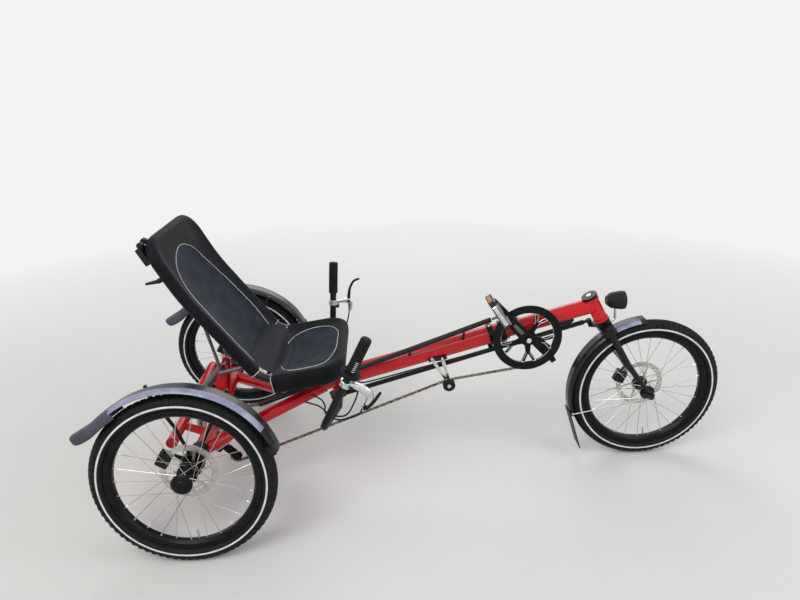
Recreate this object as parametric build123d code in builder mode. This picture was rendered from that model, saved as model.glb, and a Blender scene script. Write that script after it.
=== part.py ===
from build123d import *
import os
from math import atan2, cos, degrees, hypot, radians, sin, sqrt, tan

# A delta recumbent tricycle: one steered wheel in front, two driven wheels behind, a mesh
# seat low between the rear wheels, an under-seat handlebar and a chain along the main tube.
# Millimetres. X points forward, Y to the left, Z up, and the ground is Z = 0.
os.makedirs("parts", exist_ok=True)

# Driving dimensions of the whole vehicle
tyre_r = 250.0            # 47-406 tyre, half of 500
tyre_w = 47.0
wheelbase = 1424.0
track = 814.0             # between the rear wheel centres at hub height
camber = 4.8              # rear wheels lean in at the top, degrees
flap_reach = 280.0        # rear mudflap tips behind the rear axle
rear_x = -(wheelbase + tyre_r - flap_reach) / 2
front_x = rear_x + wheelbase

# Main tube: its centre line in side view, through one point and with one slope
main_r = 30.0
boom_r = 25.0
main_slope = 15.6
main_ref_x = rear_x + 484.0
main_ref_z = 352.0
main_front = rear_x + 948.0
main_rear = rear_x + 292.0

# Steering head
head_angle = 60.0
head_x = rear_x + 1230.0
head_z = 545.0
head_half = 44.0
head_r = 22.0
rake = 20.5

# Crank and chain
crank_x = rear_x + 1001.0
crank_z = 473.0
crank_len = 170.0
crank_rest = 132.0        # direction of the right arm at rest, degrees from forward
ring_y = -48.0
ring_r = 101.0
chain_w = 7.0
chain_h = 8.6
idler_x = rear_x + 755.0
idler_z = 315.0

# Seat
seat_half = 187.0
seat_tube_r = 12.5
seat_top = (rear_x - 83.0, 833.0)
seat_kink = (rear_x - 8.0, 690.0)
seat_bend = (rear_x + 192.0, 418.0)
seat_front = (rear_x + 412.0, 452.0)
seat_corner = 60.0
bend_radius = 90.0
kink_radius = 350.0

# Handlebar under the seat
pivot_x = rear_x + 385.0
bar_r = 11.1
bar_end = (rear_x + 360.0, 255.0, 290.0)
upright_len = 343.0
upright_flare = 8.0
upright_lean = {"right": 24.5, "left": 3.0}
link_back = 34.0          # rod ends lie this far behind both steering axes
link_side = 32.0          # and this far to the left of them
rod_r = 8.0

SIDES = {"right": -1, "left": 1}


def main_z(x):
    """Height of the main tube's centre line at x."""
    return main_ref_z + (x - main_ref_x) * tan(radians(main_slope))


def vec(*p):
    return Vector(*p)


def main_pt(x):
    """The point on the main tube's centre line at x."""
    return vec(x, 0, main_z(x))


def bar_between(a, b, r, sides=0):
    """A straight round (or polygonal) bar from a to b, in the active part."""
    a, b = vec(*a), vec(*b)
    with BuildSketch(Plane(origin=a, z_dir=b - a)) as end:
        if sides:
            RegularPolygon(r, sides)
        else:
            Circle(r)
    extrude(end.sketch, amount=(b - a).length)


def taper_between(a, b, ra, rb):
    """A round bar from a to b that tapers, with a ball where it starts."""
    start = Plane(origin=a, z_dir=b - a)
    with BuildSketch(start) as thick:
        Circle(ra)
    with BuildSketch(start.offset((b - a).length)) as thin:
        Circle(rb)
    loft([thick.sketch, thin.sketch], ruled=True)
    with Locations(a):
        Sphere(ra)


def hollow_between(a, b, r_out, r_in):
    a, b = vec(*a), vec(*b)
    with BuildSketch(Plane(origin=a, z_dir=b - a)) as end:
        Circle(r_out)
        Circle(r_in, mode=Mode.SUBTRACT)
    extrude(end.sketch, amount=(b - a).length)


def cut_between(a, b, r):
    a, b = vec(*a), vec(*b)
    with BuildSketch(Plane(origin=a, z_dir=b - a)) as end:
        Circle(r)
    extrude(end.sketch, amount=(b - a).length, mode=Mode.SUBTRACT)


def bent_tube(points, r, bend, mode=Mode.ADD):
    """A tube swept along straight runs joined by arcs, of one radius or one for each corner."""
    with BuildLine() as path:
        FilletPolyline(*points, radius=bend)
    with BuildSketch(Plane(origin=path.line @ 0, z_dir=path.line % 0)) as end:
        Circle(r)
    sweep(end.sketch, path=path.line, mode=mode)


def side_plane(y):
    """Sketch plane in side view: sketch x is forward, sketch y is up, at this y."""
    return Plane(origin=(0, y, 0), x_dir=(1, 0, 0), z_dir=(0, -1, 0))


# Head axis: s runs down it from the middle of the head tube, e points forward square to it
head_down = vec(cos(radians(head_angle)), 0, -sin(radians(head_angle)))
head_fwd = vec(sin(radians(head_angle)), 0, cos(radians(head_angle)))


def head_pt(s, e=0.0, y=0.0):
    return vec(head_x, y, head_z) + head_down * s + head_fwd * e


def head_plane(s):
    """Sketch x is forward of the axis, sketch y is left, extruding down the axis."""
    return Plane(origin=head_pt(s), x_dir=head_fwd, z_dir=head_down)


# Handlebar pivot axis, square to the main tube
pivot_down = vec(sin(radians(main_slope)), 0, -cos(radians(main_slope)))
pivot_fwd = vec(cos(radians(main_slope)), 0, sin(radians(main_slope)))


def pivot_pt(d, e=0.0, y=0.0):
    return vec(pivot_x, y, main_z(pivot_x)) + pivot_down * d + pivot_fwd * e


def pivot_plane(d):
    return Plane(origin=pivot_pt(d), x_dir=pivot_fwd, z_dir=pivot_down)


# Wheel centres and axle directions; the axle direction points to the outside
section_r = tyre_w / 2
hub_z = (tyre_r - section_r) * cos(radians(camber)) + section_r
WHEELS = {
    "front": (vec(front_x, 0, tyre_r), vec(0, -1, 0)),
    "rear_right": (
        vec(rear_x, -track / 2, hub_z),
        vec(0, -cos(radians(camber)), sin(radians(camber))),
    ),
    "rear_left": (
        vec(rear_x, track / 2, hub_z),
        vec(0, cos(radians(camber)), sin(radians(camber))),
    ),
}


def radial(axle, angle):
    """Unit vector in the wheel's plane, angle degrees up from forward."""
    up = vec(1, 0, 0).cross(axle)
    if up.Z < 0:
        up = up * -1
    return vec(1, 0, 0) * cos(radians(angle)) + up * sin(radians(angle))


def wheel_pt(wheel, t, r, angle):
    """A point t outward along the axle and r out from it."""
    centre, axle = WHEELS[wheel]
    return centre + axle * t + radial(axle, angle) * r


def wheel_profile_plane(wheel, angle=90.0):
    """Sketch x runs outward along the axle, sketch y is the radius."""
    centre, axle = WHEELS[wheel]
    out = radial(axle, angle)
    return Plane(origin=centre, x_dir=axle, z_dir=axle.cross(out))


def axle_pt(side, t):
    """A point on a rear axle line, t outward from the wheel's centre."""
    centre, axle = WHEELS["rear_" + side]
    return centre + axle * t


# Tyres, rims and laced hubs
rim_bead_r = 209.0
rim_floor_r = 200.0
bead_half = 11.0
rim_half = 14.0
rim_inner_r = 188.0
HUBS = {
    # name: flange positions along the axle, flange radius, axle end reach inward and outward
    "front": dict(
        flanges=(-28.0, 30.0), flange_r=24.0, barrel_r=13.0, inner=-46.0, outer=44.0, bore=6.06
    ),
    "rear_right": dict(
        flanges=(-26.0, 24.0), flange_r=29.0, barrel_r=19.0, inner=-100.0, outer=36.0, bore=0.0
    ),
    "rear_left": dict(
        flanges=(-26.0, 24.0), flange_r=29.0, barrel_r=19.0, inner=-100.0, outer=36.0, bore=0.0
    ),
}
spoke_count = 28
spoke_r = 1.2
disc_r = 80.0
disc_seat_r = 17.0
axle_r = 10.0
DISC_T = {"front": -36.0, "rear_right": -42.0, "rear_left": -42.0}

for wheel, (centre, axle) in WHEELS.items():
    spin = Axis(centre, axle)
    hub = HUBS[wheel]

    with BuildPart() as tyre:
        with BuildSketch(wheel_profile_plane(wheel)):
            with BuildLine():
                ThreePointArc(
                    (-section_r, tyre_r - section_r), (0, tyre_r), (section_r, tyre_r - section_r)
                )
                Polyline(
                    (section_r, tyre_r - section_r),
                    (bead_half + 7, rim_bead_r + 4),
                    (bead_half, rim_bead_r + 1.5),
                    (bead_half, rim_floor_r + 0.3),
                    (-bead_half, rim_floor_r + 0.3),
                    (-bead_half, rim_bead_r + 1.5),
                    (-bead_half - 7, rim_bead_r + 4),
                    (-section_r, tyre_r - section_r),
                )
            make_face()
        revolve(axis=spin)
    tyre.part.label = wheel + "_tyre"
    export_step(tyre.part, "parts/" + wheel + "_tyre.step")

    with BuildPart() as rim:
        with BuildSketch(wheel_profile_plane(wheel)):
            Polygon(
                (-rim_half, rim_bead_r),
                (-bead_half - 0.3, rim_bead_r),
                (-bead_half - 0.3, rim_floor_r),
                (bead_half + 0.3, rim_floor_r),
                (bead_half + 0.3, rim_bead_r),
                (rim_half, rim_bead_r),
                (rim_half, rim_inner_r + 6),
                (7, rim_inner_r),
                (-7, rim_inner_r),
                (-rim_half, rim_inner_r + 6),
                align=None,
            )
        revolve(axis=spin)
    rim.part.label = wheel + "_rim"
    export_step(rim.part, "parts/" + wheel + "_rim.step")

    with BuildPart() as laced_hub:
        with BuildSketch(wheel_profile_plane(wheel)):
            left, right = hub["flanges"]
            Polygon(
                (hub["inner"], hub["bore"]),
                (hub["inner"], axle_r),
                (DISC_T[wheel] - 4, axle_r),
                (DISC_T[wheel] - 4, disc_seat_r),
                (DISC_T[wheel] + 4, disc_seat_r),
                (left - 2, hub["flange_r"]),
                (left + 2, hub["flange_r"]),
                (left + 6, hub["barrel_r"]),
                (right - 6, hub["barrel_r"]),
                (right - 2, hub["flange_r"]),
                (right + 4, hub["flange_r"]),
                (right + 8, 14),
                (hub["outer"], 12),
                (hub["outer"], hub["bore"]),
                align=None,
            )
        revolve(axis=spin)
        for i in range(spoke_count):
            flange = hub["flanges"][i % 2]
            lean = 64.0 if (i // 2) % 2 else -64.0
            at_rim = 360.0 / spoke_count * i
            root = wheel_pt(wheel, flange, hub["flange_r"] - 4, at_rim + lean)
            tip = wheel_pt(wheel, 2.0 if flange > 0 else -2.0, rim_inner_r - 0.3, at_rim)
            bar_between(root, tip, spoke_r, 5)
    laced_hub.part.label = wheel + "_hub"
    export_step(laced_hub.part, "parts/" + wheel + "_hub.step")


# Welded main frame: main tube, axle tube, rear arms and seat lugs
axle_tube_r = 21.0
axle_tube_end = 157.0     # inboard of the wheel's centre, where the black housings begin
arm_r = 20.0
cross_x = rear_x - 80.0
cross_z = 260.0
cross_r = 17.0
cross_half = 250.0
mid_z = hub_z - track / 2 * tan(radians(camber))

with BuildPart() as axle_tube:
    for side in SIDES:
        bar_between((rear_x, 0, mid_z), axle_pt(side, -axle_tube_end), axle_tube_r)
    bar_between((cross_x, -cross_half, cross_z), (cross_x, cross_half, cross_z), cross_r)
    for side, sign in SIDES.items():
        bar_between((cross_x, sign * 150, cross_z), axle_pt(side, -track / 2 + 150), 12)
axle_tube.part.label = "axle_tube"
export_step(axle_tube.part, "parts/axle_tube.step")

with BuildPart() as main_tube:
    hollow_between(main_pt(main_rear), main_pt(main_front), main_r, boom_r + 0.1)
    bar_between(main_pt(main_rear), main_pt(main_rear + 12), main_r)
    # the lug that carries the handlebar's pivot
    with BuildSketch(pivot_plane(main_r - 3)):
        Circle(19)
    extrude(amount=14)
main_tube.part.label = "main_tube"
export_step(main_tube.part, "parts/main_tube.step")

with BuildPart() as rear_arms:
    for side, sign in SIDES.items():
        bent_tube(
            [
                (main_rear + 60, sign * 10, main_z(main_rear + 60) - 12),
                (rear_x + 170, sign * 90, 248),
                (rear_x, sign * 232, hub_z - 12 - (track / 2 - 232) * tan(radians(camber))),
            ],
            arm_r,
            90,
        )
    add(main_tube.part, mode=Mode.SUBTRACT)
    cut_between(main_pt(main_rear + 12), main_pt(main_rear + 200), main_r)
    add(axle_tube.part, mode=Mode.SUBTRACT)
rear_arms.part.label = "rear_arms"
export_step(rear_arms.part, "parts/rear_arms.step")

# Upright plates on the axle tube that carry the seat's hinge bar
lug_gap = 26.0
lug_t = 5.0
hinge_x = rear_x + 30.0
hinge_z = 388.0
with BuildPart() as seat_lugs:
    for sign in SIDES.values():
        with BuildSketch(side_plane(sign * lug_gap + lug_t / 2)):
            Polygon(
                (rear_x - 22, mid_z + 4),
                (rear_x + 24, mid_z + 4),
                (hinge_x + 16, hinge_z),
                (hinge_x - 12, hinge_z),
                align=None,
            )
            with Locations((hinge_x + 2, hinge_z)):
                Circle(14)
            with Locations((hinge_x + 2, hinge_z)):
                Circle(6.2, mode=Mode.SUBTRACT)
        extrude(amount=lug_t)
    add(axle_tube.part, mode=Mode.SUBTRACT)
seat_lugs.part.label = "seat_lugs"
export_step(seat_lugs.part, "parts/seat_lugs.step")

# Front boom with bottom bracket shell, sliding in the main tube, and the head tube
shell_r = 20.0
shell_half = 34.0
spindle_r = 12.0
boom_end_x = head_x - 8.0
with BuildPart() as head_tube:
    with BuildSketch(head_plane(-head_half)):
        Circle(head_r)
    extrude(amount=2 * head_half)
    with BuildSketch(head_plane(-head_half)):
        Circle(head_r + 2.5)
    extrude(amount=10)
    with BuildSketch(head_plane(head_half - 10)):
        Circle(head_r + 2.5)
    extrude(amount=10)
    with BuildSketch(head_plane(-head_half)):
        Circle(17)
    extrude(amount=2 * head_half, mode=Mode.SUBTRACT)
head_tube.part.label = "head_tube"
export_step(head_tube.part, "parts/head_tube.step")

with BuildPart() as headset:
    for s, depth in ((-head_half - 9, 9), (head_half, 6)):
        with BuildSketch(head_plane(s)):
            Circle(head_r + 3)
            if s > 0:
                Circle(15.5, mode=Mode.SUBTRACT)
        extrude(amount=depth)
headset.part.label = "headset"
export_step(headset.part, "parts/headset.step")

with BuildPart() as boom:
    bar_between(main_pt(main_front - 120), main_pt(boom_end_x), boom_r)
    bar_between((crank_x, -shell_half, crank_z), (crank_x, shell_half, crank_z), shell_r)
    with BuildSketch(head_plane(-head_half - 1)):
        Circle(head_r + 0.01)
    extrude(amount=2 * head_half + 2, mode=Mode.SUBTRACT)
    cut_between(
        (crank_x, -shell_half - 1, crank_z), (crank_x, shell_half + 1, crank_z), spindle_r + 0.06
    )
    add(head_tube.part, mode=Mode.SUBTRACT)
    add(headset.part, mode=Mode.SUBTRACT)
boom.part.label = "boom"
export_step(boom.part, "parts/boom.step")

with BuildPart() as boom_clamp:
    for x in (main_front - 62, main_front - 26):
        hollow_between(main_pt(x), main_pt(x + 16), main_r + 5, main_r)
        with BuildSketch(side_plane(0)):
            with Locations((x + 8, main_z(x + 8) - main_r - 9)):
                Rectangle(15, 13, rotation=main_slope)
        extrude(amount=11, both=True)
        cut_between(main_pt(x - 30), main_pt(x + 40), main_r)
boom_clamp.part.label = "boom_clamp"
export_step(boom_clamp.part, "parts/boom_clamp.step")

# Black bearing housings at the ends of the axle tube
housing_in = 157.0
housing_out = 66.0
with BuildPart() as axle_housings:
    for side in SIDES:
        hollow_between(axle_pt(side, -housing_in), axle_pt(side, -housing_out), 27, axle_r + 0.06)
        hollow_between(axle_pt(side, -housing_out - 26), axle_pt(side, -housing_out), 33, 26.9)
axle_housings.part.label = "axle_housings"
export_step(axle_housings.part, "parts/axle_housings.step")


# Seat: one bent tube loop with mesh covers slung on it, and cross tubes behind them
def leg_pt(start, end, along, out=0.0, y=0.0):
    """A point along a straight leg of the seat's side view, out on the rider's side of it."""
    length = hypot(end[0] - start[0], end[1] - start[1])
    ux = (end[0] - start[0]) / length
    uz = (end[1] - start[1]) / length
    turn = 1 if ux < 0 else -1
    return vec(start[0] + ux * along + turn * uz * out, y, start[1] + uz * along - turn * ux * out)


low_len = hypot(seat_kink[0] - seat_bend[0], seat_kink[1] - seat_bend[1])
back_len = low_len + hypot(seat_top[0] - seat_kink[0], seat_top[1] - seat_kink[1])
base_len = hypot(seat_front[0] - seat_bend[0], seat_front[1] - seat_bend[1])


def seat_back_pt(up, out=0.0, y=0.0):
    """A point up the back from the bend, out in front of the tubes."""
    if up <= low_len:
        return leg_pt(seat_bend, seat_kink, up, out, y)
    return leg_pt(seat_kink, seat_top, up - low_len, out, y)


def seat_base_pt(fwd, out=0.0, y=0.0):
    """A point forward along the base from the bend, out above the tubes."""
    return leg_pt(seat_bend, seat_front, fwd, out, y)


sleeve_r = 17.0
back_start = 38.0         # the back's mesh starts this far up from the bend
base_start = 24.0
cross_up = 330.0
cross_out = -32.0
saddle_fwd = 130.0
saddle_out = -36.0
hinge_bar = (14.0, 8.0)   # on the bend: along the base, and out from it
cloth_t = 6.0
sag = {"back": 10.0, "base": 13.0}


def seat_loop(r):
    """The seat's closed tube, or a sleeve round it, from one half and its mirror image."""
    bent_tube(
        [
            seat_base_pt(base_len),
            seat_base_pt(base_len, 0, seat_half),
            seat_base_pt(0, 0, seat_half),
            seat_back_pt(low_len, 0, seat_half),
            seat_back_pt(back_len, 0, seat_half),
            seat_back_pt(back_len),
        ],
        r,
        [seat_corner, bend_radius, kink_radius, seat_corner],
    )
    mirror(about=Plane.XZ)


def cross_bow(pt, at, out, r, mode=Mode.ADD):
    """A cross tube that bows away from the mesh between the side tubes."""
    bent_tube(
        [
            pt(at, -4, -seat_half + 6),
            pt(at, out, -seat_half + 42),
            pt(at, out, seat_half - 42),
            pt(at, -4, seat_half - 6),
        ],
        r,
        24,
        mode,
    )


def panel(start, end, across, droop):
    """A strip of mesh from start to end that hangs between the side tubes."""
    half = seat_half - 3
    low = 7 - cloth_t
    with BuildSketch(Plane(origin=start, x_dir=across, z_dir=end - start)) as strip:
        with BuildLine():
            Spline((-half, 7), (0, -droop), (half, 7))
            Line((half, 7), (half, low))
            Spline((half, low), (0, -droop - cloth_t), (-half, low))
            Line((-half, low), (-half, 7))
        make_face()
    extrude(strip.sketch, amount=(end - start).length)


def trim_corners(end, direction, across):
    """Takes the mesh's corners off inside the loop's rounded ones."""
    with BuildSketch(Plane(origin=end, x_dir=across, z_dir=direction.cross(across))) as corners:
        with Locations((-seat_half, 0), (seat_half, 0)):
            Rectangle(seat_corner, seat_corner, rotation=45)
    extrude(corners.sketch, amount=sleeve_r, both=True, mode=Mode.SUBTRACT)


with BuildPart() as seat_frame:
    seat_loop(seat_tube_r)
    cross_bow(seat_back_pt, cross_up, cross_out, 8)
    cross_bow(seat_base_pt, saddle_fwd, saddle_out, 8)
    bar_between(seat_base_pt(*hinge_bar, -seat_half), seat_base_pt(*hinge_bar, seat_half), 9)
seat_frame.part.label = "seat_frame"
export_step(seat_frame.part, "parts/seat_frame.step")

with BuildPart() as frame_gap:
    seat_loop(seat_tube_r + 0.3)
    cross_bow(seat_back_pt, cross_up, cross_out, 8.3)
    cross_bow(seat_base_pt, saddle_fwd, saddle_out, 8.3)
    bar_between(seat_base_pt(*hinge_bar, -seat_half), seat_base_pt(*hinge_bar, seat_half), 9.3)

with BuildPart() as sleeve:
    seat_loop(sleeve_r)

low_dir = (seat_back_pt(1) - seat_back_pt(0)).normalized()
top_dir = (seat_back_pt(back_len) - seat_back_pt(back_len - 1)).normalized()
base_dir = (seat_base_pt(1) - seat_base_pt(0)).normalized()
to_right = vec(0, -1, 0)
to_left = vec(0, 1, 0)

with BuildPart() as back_mesh:
    panel(seat_back_pt(back_start), seat_back_pt(low_len), to_right, sag["back"])
    panel(seat_back_pt(low_len - 0.01), seat_back_pt(back_len - 3), to_right, sag["back"])
    trim_corners(seat_back_pt(back_len), top_dir, to_right)

with BuildPart() as seat_back:
    add(sleeve.part)
    split(bisect_by=Plane(origin=seat_back_pt(back_start), z_dir=low_dir), keep=Keep.TOP)
    add(back_mesh.part)
    add(frame_gap.part, mode=Mode.SUBTRACT)
seat_back.part.label = "seat_back"
export_step(seat_back.part, "parts/seat_back.step")

with BuildPart() as base_mesh:
    panel(seat_base_pt(base_start), seat_base_pt(base_len - 3), to_left, sag["base"])
    trim_corners(seat_base_pt(base_len), base_dir, to_left)
    # side flaps, laced to each other under the seat
    with BuildSketch(Plane(origin=seat_base_pt(base_start), x_dir=to_left, z_dir=base_dir)) as flaps:
        Polygon(
            (seat_half + 9, -11),
            (seat_half - 30, -45),
            (seat_half - 34, -41),
            (seat_half - 2, -5),
            align=None,
        )
        mirror(about=Plane.YZ)
    extrude(flaps.sketch, amount=base_len - base_start - seat_corner)

with BuildPart() as seat_base:
    add(sleeve.part)
    split(bisect_by=Plane(origin=seat_base_pt(base_start), z_dir=base_dir), keep=Keep.TOP)
    add(base_mesh.part)
    add(frame_gap.part, mode=Mode.SUBTRACT)
seat_base.part.label = "seat_base"
export_step(seat_base.part, "parts/seat_base.step")

# Buckle box and quick-release lever behind the back's right side
with BuildPart() as seat_clips:
    box_pt = seat_back_pt(back_len - 17, -sleeve_r - 0.3, -seat_half + 22)
    with BuildSketch(Plane(origin=box_pt, x_dir=to_left, z_dir=top_dir.cross(to_left))) as box:
        RectangleRounded(40, 52, 5)
    extrude(box.sketch, amount=16)
    lever_up = back_len - 92
    lever_root = seat_back_pt(lever_up, -sleeve_r - 12, -seat_half)
    bar_between(seat_back_pt(lever_up, -sleeve_r - 0.2, -seat_half), lever_root, 7)
    taper_between(lever_root, seat_back_pt(lever_up + 10, -sleeve_r - 46, -seat_half), 6, 3.5)
seat_clips.part.label = "seat_clips"
export_step(seat_clips.part, "parts/seat_clips.step")

# Struts behind the seat: a grey telescopic tube to the hinge bar, thin stays to the back
stay_y = 46.0
with BuildPart() as seat_struts:
    bar_between((hinge_x + 2, -62, hinge_z), (hinge_x + 2, 62, hinge_z), 6)
    bar_between((cross_x, 0, cross_z), (hinge_x + 2, 0, hinge_z), 13)
    for sign in SIDES.values():
        bar_between(
            (hinge_x + 2, sign * stay_y, hinge_z), seat_back_pt(cross_up, cross_out, sign * stay_y), 5
        )
        bar_between((hinge_x + 2, sign * 62, hinge_z), seat_base_pt(*hinge_bar, sign * 62), 7)
    add(axle_tube.part, mode=Mode.SUBTRACT)
    add(seat_frame.part, mode=Mode.SUBTRACT)
seat_struts.part.label = "seat_struts"
export_step(seat_struts.part, "parts/seat_struts.step")

saddle_x = seat_base_pt(saddle_fwd, saddle_out).X
with BuildPart() as seat_saddle:
    saddle_z = main_z(saddle_x)
    with BuildSketch(side_plane(0)):
        Polygon(
            (saddle_x - 22, saddle_z),
            (saddle_x + 22, saddle_z),
            (saddle_x + 13, seat_base_pt(saddle_fwd, saddle_out).Z),
            (saddle_x - 13, seat_base_pt(saddle_fwd, saddle_out).Z),
            align=None,
        )
    extrude(amount=18, both=True)
    cut_between(main_pt(saddle_x - 60), main_pt(saddle_x + 60), main_r)
    add(seat_frame.part, mode=Mode.SUBTRACT)
    add(rear_arms.part, mode=Mode.SUBTRACT)
seat_saddle.part.label = "seat_saddle"
export_step(seat_saddle.part, "parts/seat_saddle.step")

# Mudguards: crowned arcs round the wheels, with flaps that flare at the rear ends
guard_t = 2.0
GUARDS = {
    # wheel: crown radius, start and end angle, flap end radius and angle
    "front": dict(r=262.0, half=28.0, start=97.0, end=200.0, flap_r=296.0, flap_end=226.0),
    "rear_right": dict(r=274.0, half=31.0, start=18.0, end=131.0, flap_r=0.0, flap_end=0.0),
    "rear_left": dict(r=274.0, half=31.0, start=18.0, end=131.0, flap_r=0.0, flap_end=0.0),
}


def lift_dir(wheel):
    """Axle direction about which angles grow from forward to up."""
    axle = WHEELS[wheel][1]
    return axle if axle.Y < 0 else axle * -1


def wheel_side_plane(wheel):
    """Sketch x is forward, sketch y is up, in the wheel's own plane."""
    return Plane(origin=WHEELS[wheel][0], x_dir=(1, 0, 0), z_dir=lift_dir(wheel))


def guard(wheel):
    g = GUARDS[wheel]
    r = g["r"]
    guard_half = g["half"]
    with BuildSketch(wheel_profile_plane(wheel, g["start"])) as section:
        Polygon(
            (-guard_half, r - 10),
            (-guard_half + 5, r - 3.5),
            (-14, r),
            (14, r),
            (guard_half - 5, r - 3.5),
            (guard_half, r - 10),
            (guard_half - 2.2, r - 10),
            (guard_half - 6.5, r - 3.5 - guard_t),
            (13.5, r - guard_t),
            (-13.5, r - guard_t),
            (-guard_half + 6.5, r - 3.5 - guard_t),
            (-guard_half + 2.2, r - 10),
            align=None,
        )
    revolve(
        section.sketch,
        axis=Axis(WHEELS[wheel][0], lift_dir(wheel)),
        revolution_arc=g["end"] - g["start"],
    )


def polar(r, angle):
    return (r * cos(radians(angle)), r * sin(radians(angle)))


def flap(wheel, r0, a0, end):
    """A flat flap from radius r0 at angle a0 to the point end, in the wheel's plane."""
    x0, z0 = polar(r0, a0)
    length = sqrt((end[0] - x0) ** 2 + (end[1] - z0) ** 2)
    nx, nz = -(end[1] - z0) / length, (end[0] - x0) / length
    if nx * x0 + nz * z0 < 0:
        nx, nz = -nx, -nz
    with BuildSketch(wheel_side_plane(wheel)) as edge:
        Polygon(
            (x0, z0), end, (end[0] + 3 * nx, end[1] + 3 * nz), (x0 + 3 * nx, z0 + 3 * nz), align=None
        )
    extrude(edge.sketch, amount=GUARDS[wheel]["half"] + 2, both=True)


flap_tip = (-flap_reach + 0.8, 128.0)
with BuildPart() as rear_guards:
    for side in SIDES:
        guard("rear_" + side)
rear_guards.part.label = "rear_guards"
export_step(rear_guards.part, "parts/rear_guards.step")

with BuildPart() as rear_flaps:
    for side in SIDES:
        flap("rear_" + side, GUARDS["rear_right"]["r"] + 0.1, 127.0, flap_tip)
    add(rear_guards.part, mode=Mode.SUBTRACT)
rear_flaps.part.label = "rear_flaps"
export_step(rear_flaps.part, "parts/rear_flaps.step")

stay_t = GUARDS["rear_right"]["half"] + 5
with BuildPart() as guard_stays:
    for side in SIDES:
        wheel = "rear_" + side
        for angle in (62.0, 108.0):
            bent_tube(
                [
                    wheel_pt(wheel, -88, 24, angle),
                    wheel_pt(wheel, -80, 120, angle),
                    wheel_pt(wheel, -stay_t, 236, angle),
                    wheel_pt(wheel, -stay_t, 274, angle),
                ],
                5,
                22,
            )
            bar_between(
                wheel_pt(wheel, -stay_t, 266, angle), wheel_pt(wheel, -stay_t + 9, 266, angle), 4.5
            )
    add(axle_housings.part, mode=Mode.SUBTRACT)
    add(rear_guards.part, mode=Mode.SUBTRACT)
guard_stays.part.label = "guard_stays"
export_step(guard_stays.part, "parts/guard_stays.step")


# Chain: the loop runs ring, tube, sprockets, two jockey pulleys, idler, ring.
# Each turn has a centre in side view, a pitch radius, a sense and a sideways place.
guide_pt = (rear_x + 422.0, 368.0)
tube_rear = (rear_x + 150.0, 289.0)
tube_front_x = rear_x + 884.0
cassette_t = -316.0       # along the right axle line from the wheel's centre
cassette_pt = axle_pt("right", cassette_t)
cassette_r = 42.0
guide_pulley = (rear_x + 16.0, 151.0)
tension_pulley = (rear_x + 62.0, 102.0)
pulley_r = 20.0
idler_pitch_r = 18.5
idler_y = -52.0

TURNS = [
    # x, z, pitch radius, sense (1 turns left), y
    (crank_x, crank_z, ring_r, 1, ring_y),
    (guide_pt[0], guide_pt[1], 0.0, 1, -54.0),
    (tube_rear[0], tube_rear[1], 0.0, 1, cassette_pt.Y),
    (cassette_pt.X, cassette_pt.Z, cassette_r, 1, cassette_pt.Y),
    (guide_pulley[0], guide_pulley[1], pulley_r, -1, cassette_pt.Y),
    (tension_pulley[0], tension_pulley[1], pulley_r, 1, cassette_pt.Y),
    (idler_x, idler_z, idler_pitch_r, -1, idler_y),
]


def chain_run(i):
    """Ends and upward normal angle of the straight run from turn i to the next."""
    x1, z1, r1, s1, y1 = TURNS[i]
    x2, z2, r2, s2, y2 = TURNS[(i + 1) % len(TURNS)]
    length = sqrt((x2 - x1) ** 2 + (z2 - z1) ** 2)
    heading = atan2(z2 - z1, x2 - x1) - asin_safe((s2 * r2 - s1 * r1) / length)
    nx, nz = -sin(heading), cos(heading)
    a = vec(x1 - s1 * r1 * nx, y1, z1 - s1 * r1 * nz)
    b = vec(x2 - s2 * r2 * nx, y2, z2 - s2 * r2 * nz)
    return a, b, vec(nx, 0, nz)


def asin_safe(v):
    return atan2(v, sqrt(1 - v * v))


def chain_box(a, b, normal):
    with BuildSketch(Plane(origin=a, x_dir=normal, z_dir=b - a)) as link:
        Rectangle(chain_h, chain_w)
    extrude(link.sketch, amount=(b - a).length)


def chain_arc(i):
    """The chain round turn i, from where one run ends to where the next begins."""
    x, z, r, sense, y = TURNS[i]
    before = chain_run(i - 1)[1]
    after = chain_run(i)[0]
    a0 = degrees(atan2(before.Z - z, before.X - x))
    a1 = degrees(atan2(after.Z - z, after.X - x))
    if sense > 0:
        while a1 < a0:
            a1 += 360
    else:
        while a1 > a0:
            a1 -= 360
    steps = max(2, int(abs(a1 - a0) // 50) + 1)
    wedge = [(0, 0)]
    for k in range(steps + 1):
        a = radians(a0 + (a1 - a0) * k / steps)
        wedge.append((r * 2.2 * cos(a), r * 2.2 * sin(a)))
    with BuildSketch(Plane(origin=(x, y, z), x_dir=(1, 0, 0), z_dir=(0, -1, 0))) as band:
        Circle(r + chain_h / 2)
        Circle(r - chain_h / 2, mode=Mode.SUBTRACT)
        Polygon(*wedge, align=None, mode=Mode.INTERSECT)
    extrude(band.sketch, amount=chain_w / 2, both=True)


top_start, top_end, top_normal = chain_run(0)
share = (top_start.X - tube_front_x) / (top_start.X - top_end.X)
tube_front = top_start + (top_end - top_start) * share
tube_end = vec(*TURNS[2][:1], TURNS[2][4], TURNS[2][1])
with BuildPart() as chain:
    chain_arc(0)
    chain_box(top_start, tube_front, top_normal)
    a, b, normal = chain_run(2)
    chain_box(tube_end, b, normal)
    chain_arc(3)
    for i in (3, 4):
        a, b, normal = chain_run(i)
        chain_box(a, b, normal)
        chain_arc(i + 1)
    a, b, normal = chain_run(5)
    chain_box(a, b, normal)
    chain_arc(6)
    a, b, normal = chain_run(6)
    chain_box(a, b, normal)
chain.part.label = "chain"

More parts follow.
